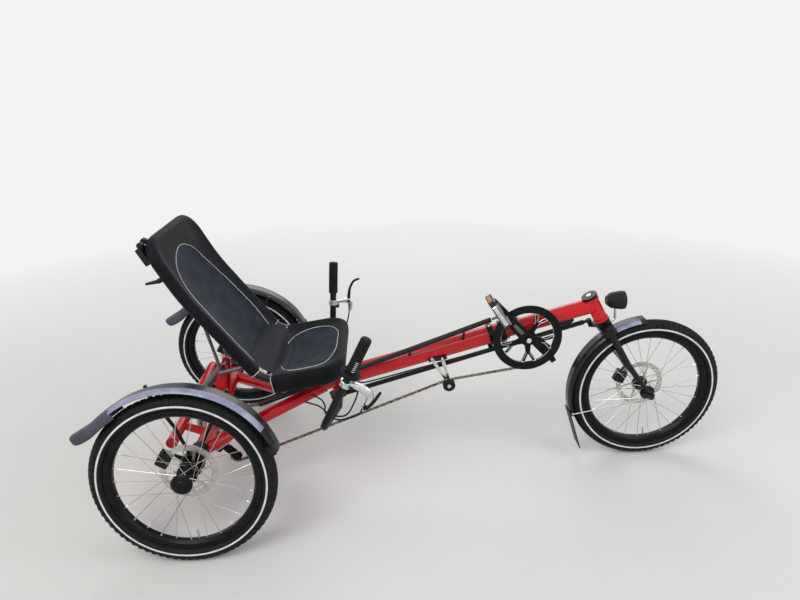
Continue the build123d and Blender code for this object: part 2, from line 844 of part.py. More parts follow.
tube_r = 8.0
with BuildPart() as chain_tube:
    bent_tube([tube_front, vec(guide_pt[0], -54.0, guide_pt[1]), tube_end], tube_r, 500)
    for x_along in (0.18, 0.55):
        pt = tube_front + (vec(guide_pt[0], -54.0, guide_pt[1]) - tube_front) * x_along
        bar_between(pt, vec(pt.X, -main_r * 0.4, main_z(pt.X) + 6), 4)
    cut_between(main_pt(main_rear), main_pt(main_front), main_r)
chain_tube.part.label = "chain_tube"
export_step(chain_tube.part, "parts/chain_tube.step")

with BuildPart() as chain_cut:
    add(chain.part)
    add(chain_tube.part, mode=Mode.SUBTRACT)
chain_cut.part.label = "chain"
export_step(chain_cut.part, "parts/chain.step")

# The chain runs upright while the cassette leans, so the cogs beside its own are low
COGS = [57.0, 45.0, 36.2, 36.0, 33.0, 30.0, 27.5]
cog_pitch = 4.8
cog_t = 1.8
core_r = 25.0
with BuildPart() as cassette:
    with BuildSketch(wheel_profile_plane("rear_right")):
        bore_r = axle_tube_r + 0.3
        with Locations((cassette_t, (core_r + bore_r) / 2)):
            Rectangle(cog_pitch * (len(COGS) - 1) + cog_t, core_r - bore_r)
        for k, cog_r in enumerate(COGS):
            with Locations((cassette_t + (k - 3) * cog_pitch, (cog_r + core_r) / 2 - 1)):
                Rectangle(cog_t, cog_r - core_r + 2)
    revolve(axis=Axis(cassette_pt, WHEELS["rear_right"][1]))
cassette.part.label = "cassette"
export_step(cassette.part, "parts/cassette.step")

cage_run = vec(tension_pulley[0] - guide_pulley[0], 0, tension_pulley[1] - guide_pulley[1])
with BuildPart() as derailleur:
    y0 = cassette_pt.Y
    for x, z in (guide_pulley, tension_pulley):
        with BuildSketch(side_plane(y0)):
            with Locations((x, z)):
                Circle(pulley_r - chain_h / 2 - 0.3)
        extrude(amount=3.2, both=True)
        bar_between((x, y0 - 9, z), (x, y0 + 9, z), 3)
    for sign in (-1, 1):
        with BuildSketch(side_plane(y0 + sign * 7 + 1)) as cage:
            with Locations((guide_pulley[0] + cage_run.X / 2, guide_pulley[1] + cage_run.Z / 2)):
                SlotCenterToCenter(
                    cage_run.length, 20, rotation=degrees(atan2(cage_run.Z, cage_run.X))
                )
        extrude(cage.sketch, amount=2)
    knuckle = vec(guide_pulley[0], y0 - 34, guide_pulley[1])
    bar_between(knuckle, knuckle + vec(0, 27, 0), 11)
    bar_between(knuckle + vec(0, 6, 0), (rear_x + 2, y0 - 28, cassette_pt.Z), 8)
    add(axle_tube.part, mode=Mode.SUBTRACT)
derailleur.part.label = "derailleur"
export_step(derailleur.part, "parts/derailleur.step")


# Idler: a grooved wheel on a pin, hung on two rods from a clamp under the main tube
idler_half = 8.5
clamp_x = rear_x + 716.0
with BuildPart() as idler:
    with BuildSketch(Plane(origin=(idler_x, idler_y, idler_z), x_dir=(0, -1, 0), z_dir=(-1, 0, 0))):
        Polygon(
            (-idler_half, 4.06),
            (-idler_half, 20),
            (-5.4, 20),
            (-4.8, idler_pitch_r - chain_h / 2 - 0.3),
            (4.8, idler_pitch_r - chain_h / 2 - 0.3),
            (5.4, 20),
            (idler_half, 20),
            (idler_half, 4.06),
            align=None,
        )
    revolve(axis=Axis((idler_x, idler_y, idler_z), (0, -1, 0)))
idler.part.label = "idler"
export_step(idler.part, "parts/idler.step")

with BuildPart() as idler_bracket:
    hollow_between(main_pt(clamp_x - 15), main_pt(clamp_x + 15), main_r + 6, main_r)
    with BuildSketch(side_plane(-8)):
        with Locations((clamp_x + 4, main_z(clamp_x) - main_r - 12)):
            RectangleRounded(42, 18, 4, rotation=main_slope)
    extrude(amount=32)
    for x in (clamp_x - 8, clamp_x + 16):
        bar_between((x, -33, main_z(clamp_x) - main_r - 12), (idler_x, -33, idler_z), 5)
    bar_between((idler_x, -26, idler_z), (idler_x, idler_y + idler_half + 1, idler_z), 9)
    bar_between((idler_x, -26, idler_z), (idler_x, idler_y - idler_half - 5, idler_z), 4)
    bar_between(
        (idler_x, idler_y - idler_half - 1, idler_z), (idler_x, idler_y - idler_half - 5, idler_z), 7
    )
    cut_between(main_pt(main_rear), main_pt(main_front), main_r)
idler_bracket.part.label = "idler_bracket"
export_step(idler_bracket.part, "parts/idler_bracket.step")

# Brake discs turn with the wheels, calipers stay on the housings and the fork
CALIPER_ANGLE = {"front": 158.0, "rear_right": 150.0, "rear_left": 150.0}
disc_t = 1.8
for wheel, (centre, axle) in WHEELS.items():
    face = wheel_pt(wheel, DISC_T[wheel] - disc_t / 2, 0, 0)
    with BuildPart() as disc:
        with BuildSketch(Plane(origin=face, x_dir=radial(axle, 0), z_dir=axle)):
            Circle(disc_r)
            Circle(disc_r - 17, mode=Mode.SUBTRACT)
            with PolarLocations(0, 6):
                Polygon((20, -7), (disc_r - 15, 9), (disc_r - 15, 16), (20, 2), align=None)
            Circle(27)
            Circle(disc_seat_r, mode=Mode.SUBTRACT)
            with PolarLocations(disc_r - 5, 20):
                Circle(2.2, mode=Mode.SUBTRACT)
            with PolarLocations(disc_r - 12, 20, start_angle=9):
                Circle(2.2, mode=Mode.SUBTRACT)
        extrude(amount=disc_t)
    disc.part.label = wheel + "_disc"
    export_step(disc.part, "parts/" + wheel + "_disc.step")


def caliper(wheel):
    """A rounded block that straddles the disc, with a slot for it."""
    angle = CALIPER_ANGLE[wheel]
    t = DISC_T[wheel]
    centre, axle = WHEELS[wheel]
    out = radial(axle, angle)
    with BuildSketch(Plane(origin=wheel_pt(wheel, t, 0, 0), x_dir=out, z_dir=out.cross(axle))) as body:
        with Locations((74, -4.5)):
            RectangleRounded(36, 27, 6)
        with Locations((66, 0)):
            Rectangle(36, 10, mode=Mode.SUBTRACT)
    extrude(body.sketch, amount=20, both=True)


with BuildPart() as rear_calipers:
    for side in SIDES:
        wheel = "rear_" + side
        caliper(wheel)
        angle = CALIPER_ANGLE[wheel]
        bar_between(wheel_pt(wheel, -80, 28, angle), wheel_pt(wheel, -70, 74, angle), 8)
        bar_between(wheel_pt(wheel, -72, 74, angle), wheel_pt(wheel, DISC_T[wheel] - 19, 74, angle), 9)
    add(axle_housings.part, mode=Mode.SUBTRACT)
rear_calipers.part.label = "rear_calipers"
export_step(rear_calipers.part, "parts/rear_calipers.step")

# Fork: steerer, crown and two tapered blades down to the front axle
blade_top_s = 86.0
crown_s = 62.0
crown_depth = 26.0
axle_s = (vec(front_x, 0, tyre_r) - vec(head_x, 0, head_z)).dot(head_down)
axle_e = (vec(front_x, 0, tyre_r) - vec(head_x, 0, head_z)).dot(head_fwd)
BLADE = [
    # s along the head axis, e forward of it, y, radius
    (crown_s + 4, 0.0, 43.0, 12.0),
    (210.0, 3.0, 48.0, 10.5),
    (axle_s - 11.5, axle_e, 53.5, 5.5),
]
with BuildPart() as fork:
    with BuildSketch(head_plane(-head_half + 2)):
        Circle(14.3)
    extrude(amount=crown_s + head_half)
    with BuildSketch(head_plane(head_half + 6.8)):
        Circle(24)
    extrude(amount=crown_s - head_half - 6.8)
    with BuildSketch(head_plane(crown_s)):
        RectangleRounded(42, 112, 18)
    extrude(amount=crown_depth)
    for sign in SIDES.values():
        for top, foot in zip(BLADE, BLADE[1:]):
            taper_between(
                head_pt(top[0], top[1], sign * top[2]),
                head_pt(foot[0], foot[1], sign * foot[2]),
                top[3],
                foot[3],
            )
        with BuildSketch(side_plane(sign * 53.5)):
            with Locations((front_x, tyre_r)):
                Circle(14)
        extrude(amount=4, both=True)
    cut_between((front_x, -70, tyre_r), (front_x, 70, tyre_r), 6.2)
    with BuildSketch(head_plane(crown_s + crown_depth - 2)):
        Circle(9)
    extrude(amount=axle_s - GUARDS["front"]["r"] - crown_s - crown_depth + 2)
    # steering arm to the rod end, back and to the left of the head axis
    with BuildSketch(head_plane(crown_s - 6)):
        with BuildLine():
            Polyline(
                (12, 14),
                (12, -14),
                (-link_back + 6, -link_side - 9),
                (-link_back - 9, -link_side + 4),
                (-10, 14),
                (12, 14),
            )
        make_face()
    extrude(amount=8)
    bar_between(
        head_pt(crown_s + 2, -link_back, link_side), head_pt(head_half - 6, -link_back, link_side), 4
    )
    bar_between(
        head_pt(crown_s + 2, -link_back, link_side), head_pt(head_half + 9, -link_back, link_side), 7
    )
fork.part.label = "fork"
export_step(fork.part, "parts/fork.step")

with BuildPart() as front_axle:
    bar_between((front_x, -62, tyre_r), (front_x, 62, tyre_r), 6)
    bar_between((front_x, -64, tyre_r), (front_x, -57.8, tyre_r), 10)
    bar_between((front_x, 57.8, tyre_r), (front_x, 66, tyre_r), 10)
    bar_between((front_x, -68, tyre_r), (front_x - 34, -72, tyre_r + 14), 5)
    bar_between((front_x, -62, tyre_r), (front_x, -70, tyre_r), 7)
front_axle.part.label = "front_axle"
export_step(front_axle.part, "parts/front_axle.step")

with BuildPart() as front_guard:
    guard("front")
front_guard.part.label = "front_guard"
export_step(front_guard.part, "parts/front_guard.step")

with BuildPart() as front_flap:
    tip = polar(GUARDS["front"]["flap_r"], GUARDS["front"]["flap_end"])
    flap("front", GUARDS["front"]["r"] + 0.1, 196.0, tip)
    add(front_guard.part, mode=Mode.SUBTRACT)
front_flap.part.label = "front_flap"
export_step(front_flap.part, "parts/front_flap.step")

with BuildPart() as front_stays:
    for sign in SIDES.values():
        bar_between(
            (front_x - 8, sign * 61, tyre_r - 7), wheel_pt("front", -sign * 32, 256, 197), 2.2
        )
        bar_between(wheel_pt("front", -sign * 33, 256, 197), wheel_pt("front", -sign * 26, 256, 197), 4)
        bar_between((front_x - 8, sign * 63, tyre_r - 7), (front_x - 8, sign * 55, tyre_r - 7), 3)
    add(fork.part, mode=Mode.SUBTRACT)
    add(front_guard.part, mode=Mode.SUBTRACT)
    add(front_flap.part, mode=Mode.SUBTRACT)
    add(front_axle.part, mode=Mode.SUBTRACT)
front_stays.part.label = "front_stays"
export_step(front_stays.part, "parts/front_stays.step")

with BuildPart() as front_caliper:
    caliper("front")
    bar_between(wheel_pt("front", -48, 76, 156), wheel_pt("front", -52, 76, 128), 6)
    add(fork.part, mode=Mode.SUBTRACT)
front_caliper.part.label = "front_caliper"
export_step(front_caliper.part, "parts/front_caliper.step")

# Headlight on a wire bracket in front of the head tube
light_x = rear_x + 1290.0
light_z = 572.0
with BuildPart() as headlight:
    with BuildSketch(Plane.XZ):
        with Locations((light_x, light_z)):
            Polygon(
                (-28, 0), (-28, 14), (-14, 25), (18, 30), (29, 29), (29, 0), align=None
            )
    revolve(axis=Axis((light_x, 0, light_z), (1, 0, 0)))
headlight.part.label = "headlight"
export_step(headlight.part, "parts/headlight.step")

with BuildPart() as light_bracket:
    bent_tube(
        [head_pt(crown_s + 8, 20, 0), head_pt(crown_s + 2, 40, 0), (light_x + 4, 0, light_z - 28.4)],
        4,
        6,
    )
    add(fork.part, mode=Mode.SUBTRACT)
light_bracket.part.label = "light_bracket"
export_step(light_bracket.part, "parts/light_bracket.step")

# Handlebar: hub on the pivot, cross bar, one leaning upright a side
hub_top = main_r + 11.5
bar_d = 55.0
rod_d = 80.0
hub_bottom = rod_d - rod_r - 5.0


def upright_pt(side, along):
    """A point up an upright from the end of the cross bar."""
    sign = SIDES[side]
    lean = radians(upright_lean[side])
    flare = radians(upright_flare)
    direction = vec(sin(lean) * cos(flare), sign * sin(flare), cos(lean) * cos(flare))
    return vec(bar_end[0], sign * bar_end[1], bar_end[2]) + direction * along


with BuildPart() as handlebar:
    with BuildSketch(pivot_plane(hub_top)):
        Circle(20)
    extrude(amount=hub_bottom - hub_top)
    for side, sign in SIDES.items():
        bent_tube(
            [
                pivot_pt(bar_d),
                pivot_pt(bar_d, 0, sign * 90),
                vec(bar_end[0], sign * bar_end[1], bar_end[2]),
                upright_pt(side, upright_len - 2),
            ],
            bar_r,
            38,
        )
    # arm to the rod's rear end, back and to the left of the pivot
    with BuildSketch(pivot_plane(hub_bottom - 8)):
        Polygon(
            (14, 14),
            (14, -14),
            (-link_back + 6, -link_side - 9),
            (-link_back - 9, -link_side + 4),
            (-10, 14),
            align=None,
        )
    extrude(amount=8)
    bar_between(
        pivot_pt(hub_bottom - 2, -link_back, link_side), pivot_pt(rod_d + 9, -link_back, link_side), 4
    )
handlebar.part.label = "handlebar"
export_step(handlebar.part, "parts/handlebar.step")

grip_len = 112.0
with BuildPart() as grips:
    for side in SIDES:
        bar_between(upright_pt(side, upright_len - grip_len), upright_pt(side, upright_len), 16)
    bar_between(
        upright_pt("right", upright_len - grip_len - 16),
        upright_pt("right", upright_len - grip_len - 4),
        30,
    )
    add(handlebar.part, mode=Mode.SUBTRACT)
grips.part.label = "grips"
export_step(grips.part, "parts/grips.step")

with BuildPart() as shifter:
    bar_between(
        upright_pt("right", upright_len - grip_len - 4), upright_pt("right", upright_len - grip_len), 18
    )
    add(handlebar.part, mode=Mode.SUBTRACT)
shifter.part.label = "shifter"
export_step(shifter.part, "parts/shifter.step")

# Brake levers: the same lever on both bars, turned down on the right
LEVER_TURN = {"right": -55.0, "left": 0.0}
LEVER_LOW = {"right": 46.0, "left": 35.0}


def lever_pt(side, ahead, above, across=0.0):
    """A point in a lever's own frame, from the bar's centre at its clamp."""
    turn = radians(LEVER_TURN[side])
    base = upright_pt(side, upright_len - grip_len - LEVER_LOW[side])
    out = vec(0, SIDES[side] * across, 0)
    return base + out + vec(cos(turn), 0, sin(turn)) * ahead + vec(-sin(turn), 0, cos(turn)) * above


with BuildPart() as lever_bodies:
    for side, sign in SIDES.items():
        low = upright_len - grip_len - LEVER_LOW[side]
        hollow_between(upright_pt(side, low - 9), upright_pt(side, low + 9), bar_r + 5, bar_r)
        taper_between(lever_pt(side, bar_r + 6, 0), lever_pt(side, 62, -4, 6), 7.5, 6.5)
        bar_between(lever_pt(side, 64, -5, -4), lever_pt(side, 64, -5, 16), 9)
        bar_between(lever_pt(side, 60, -8, 6), lever_pt(side, 54, -32, 6), 5)
    add(handlebar.part, mode=Mode.SUBTRACT)
lever_bodies.part.label = "lever_bodies"
export_step(lever_bodies.part, "parts/lever_bodies.step")

with BuildPart() as lever_blades:
    for side in SIDES:
        bent_tube(
            [
                lever_pt(side, 64, -4, 6),
                lever_pt(side, 62, 40, 6),
                lever_pt(side, 80, 78, 6),
                lever_pt(side, 98, 80, 6),
            ],
            4.6,
            [30, 16],
        )
        with Locations(lever_pt(side, 98, 80, 6)):
            Sphere(5.6)
    add(lever_bodies.part, mode=Mode.SUBTRACT)
lever_blades.part.label = "lever_blades"
export_step(lever_blades.part, "parts/lever_blades.step")

# Steering rod from the handlebar's arm to the fork's arm
rod_rear = pivot_pt(rod_d, -link_back, link_side)
rod_front = head_pt(head_half, -link_back, link_side)
with BuildPart() as steering_rod:
    along = (rod_front - rod_rear).normalized()
    bar_between(rod_rear + along * 16, rod_front - along * 16, rod_r)
    bar_between(rod_rear - pivot_down * 5, rod_rear + pivot_down * 5, 9)
    bar_between(rod_rear + along * 4, rod_rear + along * 20, 4.5)
    bar_between(rod_front - head_down * 4, rod_front + head_down * 4, 10)
    bar_between(rod_front - along * 20, rod_front - along * 5, 4.5)
    cut_between(rod_rear - pivot_down * 6, rod_rear + pivot_down * 6, 4.1)
    cut_between(rod_front - head_down * 6, rod_front + head_down * 6, 5.6)
steering_rod.part.label = "steering_rod"
export_step(steering_rod.part, "parts/steering_rod.step")

# Crankset: ring with five-arm spider, two arms and the spindle
arm_in = 58.0
arm_t = 13.0
pedal_y = 132.0


def crank_tip(side, y):
    sign = SIDES[side]
    a = radians(crank_rest if side == "right" else crank_rest + 180)
    return vec(crank_x + crank_len * cos(a), sign * y, crank_z + crank_len * sin(a))


guard_r = 110.0
ring_inner_r = 85.0
with BuildPart() as chainring:
    with BuildSketch(side_plane(ring_y + 1)):
        with Locations((crank_x, crank_z)):
            Circle(ring_r - chain_h / 2 - 0.4)
            Circle(ring_inner_r, mode=Mode.SUBTRACT)
    extrude(amount=2.2)
    # five arms that fork before they reach the ring
    with BuildSketch(side_plane(ring_y - 1)) as spider:
        with Locations((crank_x, crank_z)):
            with PolarLocations(0, 5, start_angle=crank_rest):
                Polygon((14, -11), (58, -6.5), (58, 6.5), (14, 11), align=None)
                for sign in SIDES.values():
                    Polygon(
                        (48, sign * 6.5),
                        (60, sign * 1.5),
                        (ring_inner_r + 3, sign * 17),
                        (ring_inner_r + 1, sign * 27),
                        align=None,
                    )
            Circle(26)
            Circle(spindle_r + 0.02, mode=Mode.SUBTRACT)
    extrude(spider.sketch, amount=4.2)
    with BuildSketch(side_plane(ring_y - 5)) as guard_ring:
        with Locations((crank_x, crank_z)):
            Circle(guard_r)
            Circle(ring_inner_r, mode=Mode.SUBTRACT)
    extrude(guard_ring.sketch, amount=2.5)
chainring.part.label = "chainring"
export_step(chainring.part, "parts/chainring.step")

with BuildPart() as crank_arms:
    bar_between((crank_x, -arm_in - arm_t, crank_z), (crank_x, arm_in + arm_t, crank_z), spindle_r)
    for side, sign in SIDES.items():
        tip = crank_tip(side, arm_in)
        with BuildSketch(Plane(origin=(0, sign * arm_in, 0), x_dir=(1, 0, 0), z_dir=(0, -1, 0))) as arm:
            with Locations((crank_x, crank_z)):
                Circle(19)
            with Locations((tip.X, tip.Z)):
                Circle(13)
            make_hull()
        extrude(arm.sketch, amount=-sign * arm_t)
        cap_in = sign * (arm_in + arm_t - 1)
        bar_between((crank_x, cap_in, crank_z), (crank_x, cap_in + sign * 4, crank_z), 11)
        cut_between((tip.X, sign * (arm_in - 2), tip.Z), (tip.X, sign * (arm_in + arm_t + 2), tip.Z), 7.06)
    add(chainring.part, mode=Mode.SUBTRACT)
crank_arms.part.label = "crank_arms"
export_step(crank_arms.part, "parts/crank_arms.step")

# Cage pedals: a barrel on the spindle, a rounded cage round it and two ties
pedal_tilt = -55.0
pedal_long = 94.0
pedal_wide = 84.0
for side, sign in SIDES.items():
    tip = crank_tip(side, pedal_y)
    pedal_fwd = vec(cos(radians(pedal_tilt)), 0, sin(radians(pedal_tilt)))
    with BuildPart() as pedal:
        bar_between((tip.X, sign * (arm_in + 1), tip.Z), (tip.X, sign * (pedal_y + 40), tip.Z), 7)
        bar_between((tip.X, sign * (pedal_y - 38), tip.Z), (tip.X, sign * (pedal_y + 38), tip.Z), 13)
        with BuildSketch(Plane(origin=tip, x_dir=pedal_fwd, z_dir=pedal_fwd.cross(to_left))) as cage:
            RectangleRounded(pedal_long, pedal_wide, 14)
            RectangleRounded(pedal_long - 10, pedal_wide - 22, 9, mode=Mode.SUBTRACT)
        extrude(cage.sketch, amount=9, both=True)
        with BuildSketch(Plane(origin=tip, x_dir=pedal_fwd, z_dir=pedal_fwd.cross(to_left))) as ties:
            with Locations((0, -27), (0, 27)):
                Rectangle(pedal_long - 8, 9)
        extrude(ties.sketch, amount=5, both=True)
    pedal.part.label = "pedal_" + side
    export_step(pedal.part, "parts/pedal_" + side + ".step")
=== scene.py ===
import math

import bmesh
import bpy
from mathutils import Matrix, Vector
from mathutils.kdtree import KDTree


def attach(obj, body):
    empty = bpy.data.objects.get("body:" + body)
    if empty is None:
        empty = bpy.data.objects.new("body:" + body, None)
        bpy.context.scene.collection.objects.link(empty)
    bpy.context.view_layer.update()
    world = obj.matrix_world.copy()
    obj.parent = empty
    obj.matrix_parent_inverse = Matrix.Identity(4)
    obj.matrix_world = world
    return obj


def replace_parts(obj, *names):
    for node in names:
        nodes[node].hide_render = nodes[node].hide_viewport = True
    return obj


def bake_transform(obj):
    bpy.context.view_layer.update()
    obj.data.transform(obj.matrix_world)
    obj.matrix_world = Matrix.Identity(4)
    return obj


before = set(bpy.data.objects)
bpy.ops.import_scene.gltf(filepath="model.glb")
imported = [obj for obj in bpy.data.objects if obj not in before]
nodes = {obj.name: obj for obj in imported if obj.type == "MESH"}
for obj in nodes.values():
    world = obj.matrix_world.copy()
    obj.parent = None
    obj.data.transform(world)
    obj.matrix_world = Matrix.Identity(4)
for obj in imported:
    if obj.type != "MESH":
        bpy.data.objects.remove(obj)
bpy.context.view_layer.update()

MM = 0.001
rad = math.radians


# Colour, nodes and finishes

def linear(code):
    """An sRGB hex colour as the linear values that Blender wants."""
    parts = [int(code[i:i + 2], 16) / 255 for i in (0, 2, 4)]
    curve = [c / 12.92 if c <= 0.04045 else ((c + 0.055) / 1.055) ** 2.4 for c in parts]
    return (*curve, 1.0)


def grey(value):
    """A linear grey, for a ramp whose result is a number and not a colour."""
    return (value, value, value, 1.0)


def add_node(tree, kind, inputs=None, stops=(), **settings):
    """Adds one node, with its settings and ramp stops, and links or sets the inputs named."""
    made = tree.nodes.new(kind)
    for name, value in settings.items():
        setattr(made, name, value)
    for key, value in (inputs or {}).items():
        if isinstance(value, bpy.types.NodeSocket):
            tree.links.new(value, made.inputs[key])
        else:
            made.inputs[key].default_value = value
    if stops:
        for element, (position, colour) in zip(made.color_ramp.elements, stops):
            element.position = position
            element.color = colour
    return made


def per_mm(size_mm):
    """A texture scale whose features are about this many millimetres across."""
    return 1000.0 / size_mm


# Where noise turns from one colour, or one roughness, to the other
PATCH_EDGES, GRAIN_EDGES = (0.35, 0.65), (0.3, 0.7)
PATCH_DETAIL, GRAIN_DETAIL, DENT_STRENGTH = 3.0, 5.0, 0.5


def surface(name, low, high, patch, grain, rough, dent=0.02, stretch=(1, 1, 1), **shader):
    """Two close colours in patches, a finer grain that roughens and dents; sizes in mm."""
    material = bpy.data.materials.new(name)
    material.use_nodes = True
    tree = material.node_tree
    body = tree.nodes["Principled BSDF"]
    where = add_node(tree, "ShaderNodeTexCoord").outputs["Object"]
    if stretch != (1, 1, 1):
        where = add_node(tree, "ShaderNodeMapping", {"Vector": where, "Scale": stretch}).outputs[0]
    patches = add_node(
        tree, "ShaderNodeTexNoise",
        {"Vector": where, "Scale": per_mm(patch), "Detail": PATCH_DETAIL},
    ).outputs["Fac"]
    fine = add_node(
        tree, "ShaderNodeTexNoise",
        {"Vector": where, "Scale": per_mm(grain), "Detail": GRAIN_DETAIL},
    ).outputs["Fac"]
    for factor, stops, socket in (
        (patches, zip(PATCH_EDGES, (linear(low), linear(high))), "Base Color"),
        (fine, zip(GRAIN_EDGES, (grey(rough[0]), grey(rough[1]))), "Roughness"),
    ):
        mixed = add_node(tree, "ShaderNodeValToRGB", {"Fac": factor}, stops=list(stops))
        tree.links.new(mixed.outputs["Color"], body.inputs[socket])
    if dent:
        bump = add_node(
            tree, "ShaderNodeBump",
            {"Height": fine, "Strength": DENT_STRENGTH, "Distance": dent * MM},
        )
        tree.links.new(bump.outputs["Normal"], body.inputs["Normal"])
    for key, value in shader.items():
        body.inputs[key.replace("_", " ").title().replace("Ior", "IOR")].default_value = value
    return material


# Powder coat under a clear layer: deep even red with the faint orange peel of a baked finish
red_coat = surface(
    "red_powder_coat", "BE0812", "D00C16", 60, 2.2, (0.24, 0.32), 0.03,
    coat_weight=0.35, coat_roughness=0.08, specular_ior_level=0.25,
)
# Anodised and brushed dark aluminium, with a soft metal glint
black_anodised = surface(
    "black_anodised_aluminium", "141517", "1D1E20", 25, 0.8, (0.3, 0.42), 0.01, metallic=0.7,
    specular_ior_level=0.3,
)
# Satin paint on the black tubes and fork: even and a little dusty
satin_black = surface(
    "satin_black_paint", "0D0E0F", "151617", 40, 1.5, (0.34, 0.48), 0.03, specular_ior_level=0.25
)
# Gloss lacquer on the seat's bent tube: deep black with sharp highlights
gloss_black = surface(
    "gloss_black_lacquer", "0B0C0D", "121314", 50, 2.0, (0.16, 0.24), 0.02, coat_weight=0.3,
    specular_ior_level=0.3,
)
# Forged and polished aluminium: bright, nearly mirror-like, with a soft edge to its glints
polished_alloy = surface(
    "polished_aluminium", "C9CACB", "DDDDDC", 12, 0.5, (0.2, 0.34), 0.01, metallic=1.0
)
# Bead-blasted aluminium: a flat mid grey that scatters its highlights
grey_alloy = surface(
    "matt_grey_aluminium", "5D6062", "6B6E70", 20, 0.6, (0.38, 0.5), 0.01, metallic=0.8
)
# Stainless steel, ground and brushed: warmer and a little duller than the aluminium
stainless = surface(
    "brushed_stainless_steel", "B4B2AC", "CBC9C4", 10, 0.4, (0.24, 0.36), 0.008, metallic=1.0
)
# Oiled chain: brownish steel, darker where grease holds dust
chain_steel = surface(
    "oiled_chain_steel", "4A4137", "8A8074", 9, 1.2, (0.32, 0.5), 0.02, metallic=0.85
)
# Injection-moulded nylon: near black, with the fine spark-eroded grain of its mould
moulded_plastic = surface(
    "moulded_black_plastic", "0F1012", "17181A", 18, 0.9, (0.42, 0.56), 0.03,
    specular_ior_level=0.25,
)
# Polycarbonate strip over a foil: black and smooth, with a thin wet-looking gloss
guard_plastic = surface(
    "mudguard_plastic", "0D0E11", "15161A", 70, 1.6, (0.24, 0.36), 0.02, coat_weight=0.15,
    specular_ior_level=0.3,
)
# Soft grey rubber sheet: matt, and paler where it is scuffed
flap_rubber = surface(
    "grey_flap_rubber", "3D4049", "4E515C", 45, 1.4, (0.5, 0.66), 0.04, specular_ior_level=0.3
)
# Vulcanised tyre rubber: dull charcoal with a slightly powdery skin
tyre_rubber = surface(
    "black_tyre_rubber", "111214", "1A1B1D", 30, 1.1, (0.58, 0.74), 0.06, specular_ior_level=0.2
)
# Soft moulded rubber of the grips: the dullest black here, with hardly a highlight
grip_rubber = surface(
    "soft_grip_rubber", "0F1011", "171819", 14, 0.9, (0.6, 0.75), 0.05, specular_ior_level=0.2
)
# Extruded polyethylene of chain tube and cable housings: waxy black, half matt
hose_plastic = surface(
    "black_chain_tube", "0E0E10", "161618", 30, 1.3, (0.36, 0.5), 0.02, specular_ior_level=0.25
)
# Tiny glass beads under a film give the tape its pale lavender glow
reflective_tape = surface(
    "reflective_tape", "7A7E9A", "9FA3BC", 38, 0.9, (0.34, 0.5), 0.02, metallic=0.2
)
# Reflective stripe moulded on the tyre: flat pale grey, nearly white in daylight
reflective_line = surface(
    "reflective_tyre_line", "D6D8D8", "EDEEEC", 20, 0.8, (0.4, 0.55), 0.02
)

# The finish of each CAD node
FINISH = {
    red_coat: "main_tube boom head_tube rear_arms axle_tube seat_lugs",
    black_anodised: "headset boom_clamp axle_housings chainring crank_arms derailleur "
                    "front_rim front_hub rear_right_rim rear_right_hub rear_left_rim rear_left_hub",
    satin_black: "fork handlebar guard_stays steering_rod seat_saddle rear_calipers "
                 "front_caliper front_axle",
    gloss_black: "seat_frame",
    polished_alloy: "idler_bracket lever_bodies",
    grey_alloy: "seat_struts",
    stainless: "front_disc rear_right_disc rear_left_disc cassette light_bracket front_stays",
    chain_steel: "chain",
    moulded_plastic: "idler shifter lever_blades headlight seat_back seat_base seat_clips "
                     "pedal_right pedal_left front_flap",
    guard_plastic: "rear_guards front_guard",
    flap_rubber: "rear_flaps",
    tyre_rubber: "front_tyre rear_right_tyre rear_left_tyre",
    grip_rubber: "grips",
    hose_plastic: "chain_tube",
}
for material, names in FINISH.items():
    for name in names.split():
        nodes[name].data.materials.clear()
        nodes[name].data.materials.append(material)


# Camera, floor and light

# The photograph's own viewpoint, found from the wheels and the frame's tubes
CAMERA_AT = (-0.1606, -1.7947, 1.2768)
CAMERA_TURN = (2.11, 20.85, 0.85)    # degrees to the right, down, and rolled
LENS_PX, PICTURE_PX, SENSOR_MM = 610.9, 800, 36.0


def place_camera():
    """Sets the camera where the photograph was taken from."""
    yaw, down, roll = (rad(angle) for angle in CAMERA_TURN)
    ahead = Vector((
        math.sin(yaw) * math.cos(down), math.cos(yaw) * math.cos(down), -math.sin(down)
    ))
    level = Vector((math.cos(yaw), -math.sin(yaw), 0))
    below = ahead.cross(level)
    right = level * math.cos(roll) + below * math.sin(roll)
    below = below * math.cos(roll) - level * math.sin(roll)
    data = bpy.data.cameras.new("camera")
    data.sensor_width = SENSOR_MM
    data.lens = SENSOR_MM * LENS_PX / PICTURE_PX
    made = bpy.data.objects.new("camera", data)
    turn = Matrix((right, -below, -ahead)).transposed().to_4x4()
    made.matrix_world = Matrix.Translation(CAMERA_AT) @ turn
    bpy.context.scene.collection.objects.link(made)
    bpy.context.scene.camera = made


ROOM_WHITE = "F6F7F8"
LAMPS_AIM = (0, 0, 0.3)
SEEN = 0.96                  # how bright the room looks to the eye
ROOM_LIT, FLOOR_LIT = 0.42, 0.3    # how much of it lights the object
FLOOR_HALF = 4
FADE_FROM, FADE_TO = 1.3, 3.6      # metres from the origin
LAMPS = [
    # name, place, size, power, colour
    ("key", (-1.6, -2.6, 3.4), 2.4, 84, "FFFCF7"),
    ("fill", (2.4, -1.2, 2.2), 2.2, 26, "F4F7FF"),
    ("rim", (0.2, 3.0, 2.6), 2.4, 40, "FFFFFF"),
]


def lamp(name, at, size, power, colour):
    """A square area light that faces the object."""
    data = bpy.data.lights.new(name, "AREA")
    data.size = size
    data.energy = power
    data.color = linear(colour)[:3]
    made = bpy.data.objects.new(name, data)
    made.matrix_world = Matrix.Translation(at) @ (
        Vector(LAMPS_AIM) - Vector(at)
    ).to_track_quat("-Z", "Y").to_matrix().to_4x4()
    bpy.context.scene.collection.objects.link(made)


